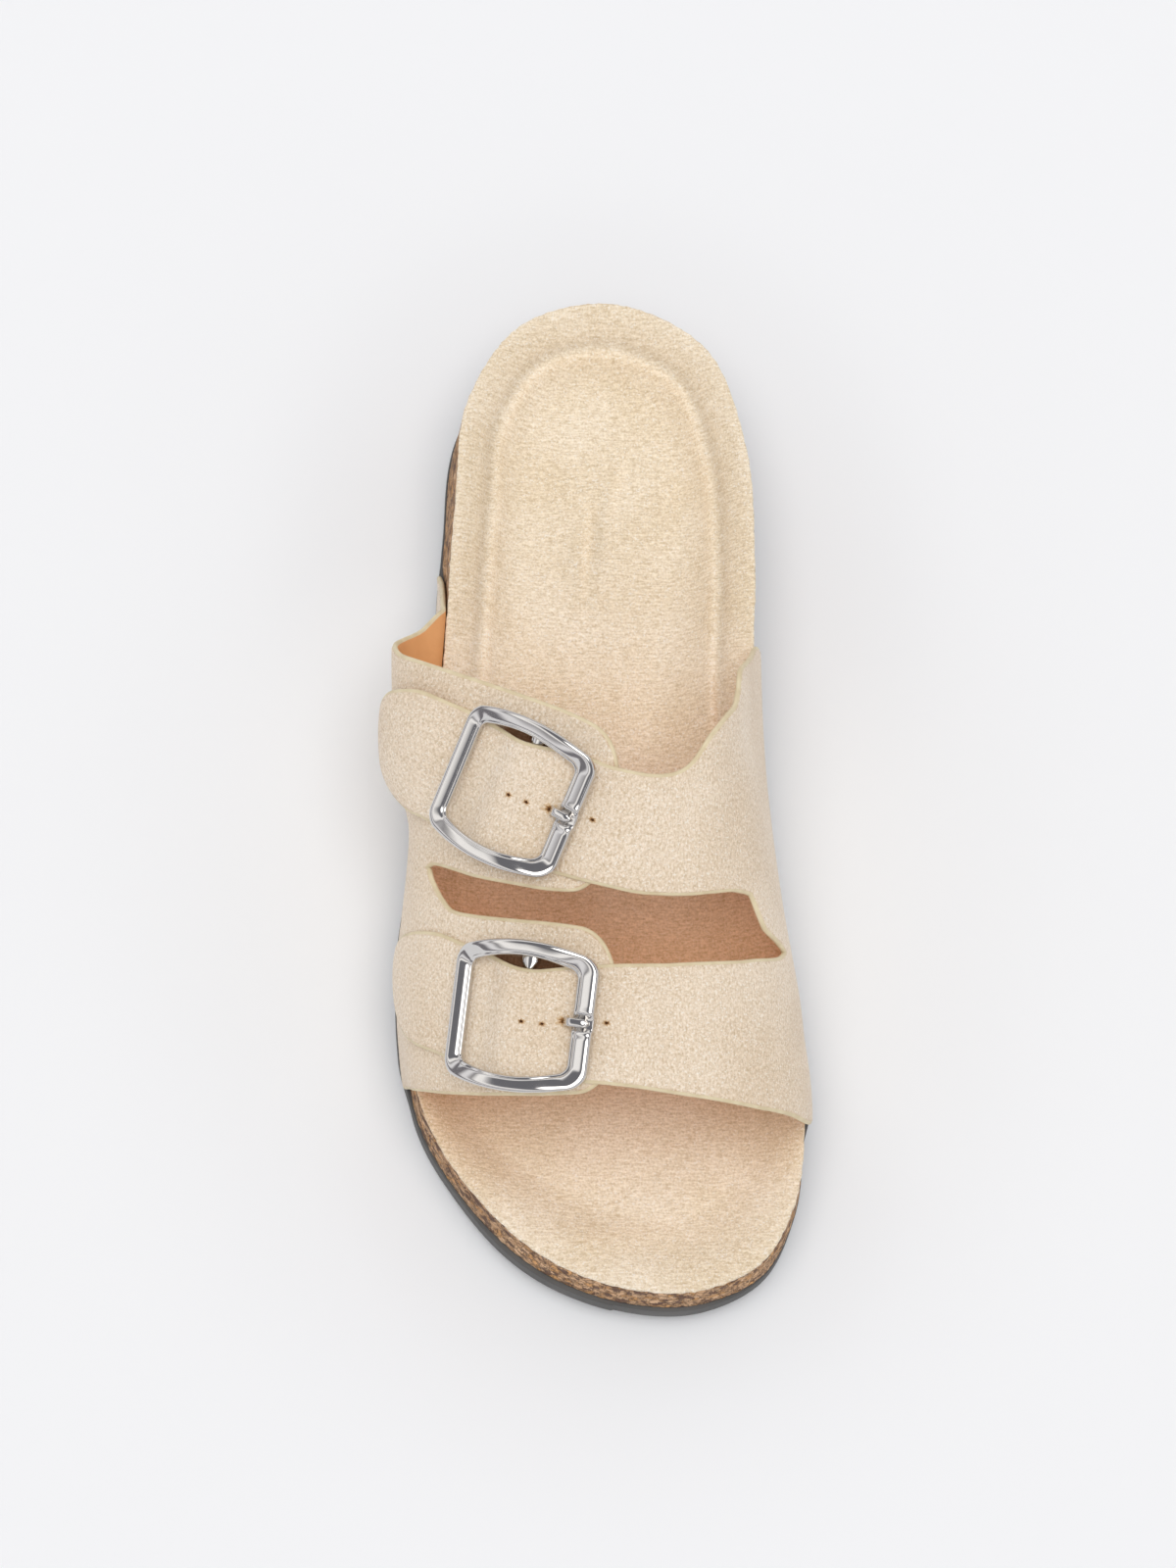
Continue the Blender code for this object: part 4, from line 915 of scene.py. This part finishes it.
# points evenly round a circle
def circle(count):
    turn = np.linspace(0.0, 2 * math.pi, count, endpoint=False)
    return np.column_stack([np.cos(turn), np.sin(turn)])


# carries a section along a path: half width times its x on the side, half thickness times its y on top
def sweep(path, sides, tops, section, halfWide, halfThick):
    u, v = section.T
    across = u[None, :, None] * halfWide[:, None, None] * sides[:, None, :]
    upward = (v[None, :] * halfThick[:, None])[..., None] * tops[:, None, :]
    return path[:, None, :] + across + upward


# closes both ends of a swept tube: the end rings shrink in steps to a point
def capped(tube):
    ends = []
    for ring, beyond in ((tube[0], tube[1]), (tube[-1], tube[-2])):
        middle = ring.mean(0)
        step = unit(middle - beyond.mean(0))
        ends.append([middle + (ring - middle) * share + step * out for share, out in metal["cap"]])
    rings = np.stack([*ends[0][::-1], *tube, *ends[1]])
    return rings.reshape(-1, 3), gridFaces(len(rings), rings.shape[1], loopColumns=True)


# evenly spaced points on an open line of points
def evenly(line, count):
    length = np.concatenate([[0.0], np.cumsum(np.linalg.norm(np.diff(line, axis=0), axis=1))])
    at = np.linspace(0.0, length[-1], count)
    return np.column_stack([np.interp(at, length, line[:, k]) for k in range(line.shape[1])])


# rectangle with round corners, inset by a share of the bars' widths; also gives s as a share of its reach
def frameLoop(inset):
    radius = metal["outerCorner"] + (metal["innerCorner"] - metal["outerCorner"]) * inset
    half, width = metal["length"] / 2, metal["width"] / 2 - metal["sideBar"] * inset
    ends = {1: half - metal["innerBar"] * inset, -1: half - metal["outerBar"] * inset}
    corners = []
    for number, (along, across) in enumerate(((1, 1), (-1, 1), (-1, -1), (1, -1))):
        turn = np.linspace(0.0, math.pi / 2, metal["cornerPoints"]) + number * math.pi / 2
        centre = (along * (ends[along] - radius), across * (width - radius))
        corners.append(np.column_stack([np.cos(turn), np.sin(turn)]) * radius + centre)
    loop = []
    for number, corner in enumerate(corners):
        points = metal["sidePoints"] if number % 2 == 0 else metal["barPoints"]
        share = np.linspace(0.0, 1.0, points + 2)[1:-1, None]
        loop += [corner, corner[-1] + (corners[(number + 1) % 4][0] - corner[-1]) * share]
    s, w = np.concatenate(loop).T
    return s, w, s / np.where(s > 0.0, ends[1], ends[-1])


# centre bar: a round bar between two posts, bent over quarter circles and widened into lugs at its ends
def centreBar(axes, levels):
    post = metal["width"] / 2 + metal["bow"] - metal["postInset"]
    bend = metal["barThick"] / 2
    corner = np.linspace(0.0, math.pi / 2, metal["bendPoints"])
    inwards, upwards = bend * (1 - np.cos(corner)), levels[3] + bend * (1 - np.sin(corner))
    w = np.concatenate([[-post], -post + inwards, post - inwards[::-1], [post]])
    h = np.concatenate([[levels[2]], upwards, upwards[::-1], [levels[2]]])
    path = evenly(place(axes, 0.0, w, h), metal["barPath"])
    sides = np.tile(axes[1], (len(path), 1))
    tops = unit(np.cross(np.gradient(path, axis=0), sides))
    aside = np.abs((path - axes[0]) @ axes[2])
    lug = bend + (metal["lugWidth"] / 2 - bend) * smooth(*metal["lugFrom"], aside)
    return capped(sweep(path, sides, tops, circle(metal["barSides"]), lug, np.full(len(path), bend)))


# frame: inset loops joined through the section, sides bowed by 1 - s^2 and arched by 1 - |s|^3, then notched
def makeFrame(key, buckle):
    axes, levels, thick = buckleAxes(buckle), frameLevels(buckle), metal["thick"] / 2
    inset, up = (np.array(metal["section"]).T[k][:, None] for k in (0, 1))
    s, w, reach = (np.stack(v) for v in zip(*(frameLoop(share) for share in inset[:, 0])))
    bowed = w * (1.0 + metal["bow"] * (1.0 - reach**2) / (metal["width"] / 2))
    base = levels[0] + (levels[1] - levels[0]) * (reach + 1.0) / 2
    arched = base + (levels[2] - base) * (1.0 - np.abs(reach) ** metal["arch"])
    barEdge, half = metal["length"] / 2 - metal["innerBar"], metal["notchWidth"] / 2
    (before, past), (inner, outer) = metal["notchOnBar"], metal["notchEase"]
    here = smooth(barEdge + before, barEdge + past, s) * smooth(*metal["notchOnTop"], up)
    cut = 1.0 - smooth(half - inner, half + outer, np.abs(w))
    cheek = metal["cheekHeight"] * bell(np.abs(w), half + metal["cheekOut"], metal["cheekWidth"])
    deep = (up * thick - (thick - metal["notchDepth"])) * cut - cheek
    h = arched + up * thick - np.where(up > metal["notchAbove"], deep, 0.0) * here
    bar, barQuads = centreBar(axes, levels)
    verts = np.concatenate([place(axes, s, bowed, h).reshape(-1, 3), bar])
    quads = np.concatenate([gridFaces(*s.shape, True, True), barQuads + s.size])
    addPiece("buckleFrame_" + key, verts, quads, [polishedNickel], ["buckle_frame_" + key])


# prong: low beside the centre bar, up through the strap's hole, flat in the notch, narrowing to a round tip
def makeProng(key, buckle):
    axes, levels = buckleAxes(buckle), frameLevels(buckle)
    seat = shoe["gap"] + metal["prongThick"] / 2
    first, through, half = metal["prongStart"], metal["hole"], metal["prongWidth"] / 2
    start = patchHeight(buckle, (first, through[0]), half, False) + seat
    low = patchHeight(buckle, through, half, False) + seat
    high = levels[1] + metal["thick"] / 2 - metal["notchDepth"] + seat
    end = metal["length"] / 2 - metal["prongInset"]
    rising = [(at, low + share * (high - low)) for at, share in metal["prongRise"]]
    rows = [(first, start), (through[0], low), *rising, (end, high - metal["prongDip"])]
    s = np.linspace(first, end, metal["prongPath"])
    path = place(axes, s, 0.0, readTable(rows, s)[0])
    sides = np.tile(axes[2], (len(path), 1))
    tops = unit(np.cross(np.gradient(path, axis=0), -sides))
    (narrow, narrowOver), (thin, thinOver) = metal["tipNarrow"], metal["tipThin"]
    wide = half * (1.0 - metal["taper"] * smooth(through[0], end, s))
    wide = wide * (1.0 - narrow * smooth(end - narrowOver, end, s))
    thick = metal["prongThick"] / 2 * (1.0 - thin * smooth(end - thinOver, end, s))
    ring = circle(metal["prongSides"])
    oval = np.sign(ring) * np.abs(ring) ** metal["prongPower"]
    verts, quads = capped(sweep(path, sides, tops, oval, wide, thick))
    addPiece("prong_" + key + "_tongue", verts, quads, [polishedNickel], ["prong_" + key])


for key, buckle in buckles.items():
    makeFrame(key, buckle)
    makeProng(key, buckle)

# Punched holes: small frayed rosettes on the strap, s along it and w across, with their radius
holes = dict(
    rear=[(-0.2, -1.0, 0.72), (4.8, -0.7, 0.7), (10.4, 0.0, 1.5), (19.6, 1.7, 0.75)],
    front=[(0.9, -1.2, 0.72), (5.9, -1.2, 0.7), (10.6, 0.0, 1.5), (19.7, 0.8, 0.75)],
    rings=8, spokes=32, lip=0.14, lipAt=(0.62, 0.3), proud=0.02, middle=0.01, sunk=0.25,
    ripples=((5, 0.16, 1), (8, 0.2, 2)),        # waves round the hole, depth, turn from hole to hole
    stretch=(1.3, 0.85), darkFrom=(0.15, 1.0),
    search=(30.0, 0.4), searchPoints=61, searchRounds=4, searchZoom=12.0,
)


# point and normal of the strap's face at s and w: nearest on a grid, then on finer and finer ones
def onStrap(buckle, s, w):
    axes = buckleAxes(buckle)
    y, girth, reach = buckle["y"], buckle["girth"], np.array(holes["search"])
    way, most = np.linspace(-1, 1, holes["searchPoints"]), holes["searchPoints"] - 1
    for _ in range(holes["searchRounds"]):
        yy, gg = np.meshgrid(y + reach[0] * way, girth + reach[1] * way)
        rise = strapRise(yy, gg, buckle) + shoe["wall"]
        top = lastSurface(yy, gg) + rise[..., None] * lastNormal(yy, gg)
        away = ((top - axes[0]) @ axes[1] - s) ** 2 + ((top - axes[0]) @ axes[2] - w) ** 2
        i, j = np.unravel_index(np.argmin(away), away.shape)
        y, girth, reach = yy[i, j], gg[i, j], reach / holes["searchZoom"]
    back = top[i, min(j + 1, most)] - top[i, max(j - 1, 0)]
    up = top[min(i + 1, most), j] - top[max(i - 1, 0), j]
    return top[i, j], unit(np.cross(up, back)), axes


# rosette: radius ripples with the angle, height is a low lip that falls to the middle, underside flat
def makeHoles():
    verts, quads, deep, count = [], [], [], 0
    turn = np.linspace(0.0, 2 * math.pi, holes["spokes"], endpoint=False)
    r = np.linspace(0.0, 1.0, holes["rings"])[1:, None]
    # painted shade of the hole: 1 in the middle, fading to 0 towards the lip
    dark = 1.0 - smooth(*holes["darkFrom"], r[:, 0])
    shade = np.repeat(np.concatenate([[1.0], dark, np.zeros(len(r) + 1)]), len(turn))
    lip = (holes["lip"] * bell(r, *holes["lipAt"]) + holes["proud"])[..., None]
    for key, buckle in buckles.items():
        for n, (s, w, size) in enumerate(holes[key]):
            point, normal, axes = onStrap(buckle, s, w)
            along = unit(axes[1] - normal * (axes[1] @ normal))
            waves = sum(depth * np.sin(times * turn + step * n) for times, depth, step in holes["ripples"])
            flat = size * r * (1.0 + waves * r)
            x, y = flat * np.cos(turn) * holes["stretch"][0], flat * np.sin(turn) * holes["stretch"][1]
            spot = point + x[..., None] * along + y[..., None] * np.cross(normal, along)
            pole = np.broadcast_to(point, (1, len(turn), 3))
            rings = np.concatenate([
                pole + holes["middle"] * normal, spot + lip * normal,
                spot[::-1] - holes["sunk"] * normal, pole - holes["sunk"] * normal])
            verts.append(rings.reshape(-1, 3))
            quads.append(gridFaces(len(rings), len(turn), loopColumns=True, start=count))
            deep.append(shade)
            count += len(rings) * len(turn)
    addPiece("punchedHoles", np.concatenate(verts), np.concatenate(quads), [frayedHole],
             shades=dict(deep=np.concatenate(deep)))


makeHoles()

# Floor, light and camera
studio = dict(
    floor=(0.87, 0.885, 0.905), reach=40.0,
    # sky: height of the direction, then red, green and blue; two bright belts and a dim ring over them
    sky=[
        (0.0, 0.24, 0.23, 0.25), (0.16, 0.24, 0.23, 0.25), (0.28, 1.0, 0.99, 1.01), (0.37, 1.0, 0.99, 1.01),
        (0.47, 0.34, 0.33, 0.34), (0.56, 1.25, 1.23, 1.21), (0.64, 1.2, 1.18, 1.16),
        (0.73, 0.20, 0.20, 0.22), (1.0, 0.20, 0.20, 0.22),
    ],
    # soft box overhead, a little to the toe and the outer side: direction, colour, and how near to it
    # the box starts and is full
    box=(-0.02, -0.11, 0.993), boxColour=(3.85, 3.79, 3.71), boxEdge=(0.90, 0.95),
)


# floor: one flat square at z = 0
def makeFloor():
    finish, tree, shader = newFinish(
        "paleFloor", Base_Color=studio["floor"], Roughness=0.9, Specular_IOR_Level=0.0)
    r = studio["reach"]
    mesh = bpy.data.meshes.new("floor")
    mesh.from_pydata([(-r, -r, 0.0), (r, -r, 0.0), (r, r, 0.0), (-r, r, 0.0)], [], [(0, 1, 2, 3)])
    mesh.materials.append(finish)
    floor = bpy.data.objects.new("floor", mesh)
    bpy.context.scene.collection.objects.link(floor)


# sky: colour from the direction's height, with a soft box where the direction is near its own
def makeLight():
    world = bpy.data.worlds.new("studio")
    world.use_nodes = True
    tree = world.node_tree
    way = put(tree, "TexCoord").outputs["Generated"]
    near = calc(tree, "DOT_PRODUCT", way, studio["box"], kind="VectorMath")["Value"]
    belt = put(tree, "ValToRGB")
    feed(tree, belt.inputs[0], put(tree, "SeparateXYZ", Vector=way).outputs[2])
    stops = belt.color_ramp.elements
    for _ in studio["sky"][2:]:
        stops.new(0.5)
    for stop, (at, *colour) in zip(stops, studio["sky"]):
        stop.position = at
        stop.color = (*colour, 1.0)
    sky = tint(tree, spread(tree, near, *studio["boxEdge"]), belt.outputs[0], studio["boxColour"])
    feed(tree, tree.nodes["Background"].inputs["Color"], sky)
    bpy.context.scene.world = world


view = dict(target=(-2.9, 0.0, 30.0), distance=1200.0, lean=19.0, swing=2.0, lens=113.4, sensor=36.0)


# camera: back from the target, leaned to the toe and swung to the outer side, heel up in the image
def makeCamera():
    lean, swing = math.radians(view["lean"]), math.radians(view["swing"])
    back = np.array([-math.sin(swing), -math.sin(lean) * math.cos(swing), math.cos(lean) * math.cos(swing)])
    facing = Vector(back).normalized()
    right = Vector((0.0, 1.0, 0.0)).cross(facing).normalized()
    camera = bpy.data.objects.new("camera", bpy.data.cameras.new("camera"))
    camera.data.lens = view["lens"]
    camera.data.sensor_width = view["sensor"]
    camera.location = (np.array(view["target"]) + view["distance"] * back) * mm
    camera.rotation_mode = "QUATERNION"
    camera.rotation_quaternion = Matrix((right, facing.cross(right), facing)).transposed().to_quaternion()
    bpy.context.scene.collection.objects.link(camera)
    bpy.context.scene.camera = camera


makeFloor()
makeLight()
makeCamera()
bpy.context.scene.view_settings.view_transform = "Standard"
print("studio ready")
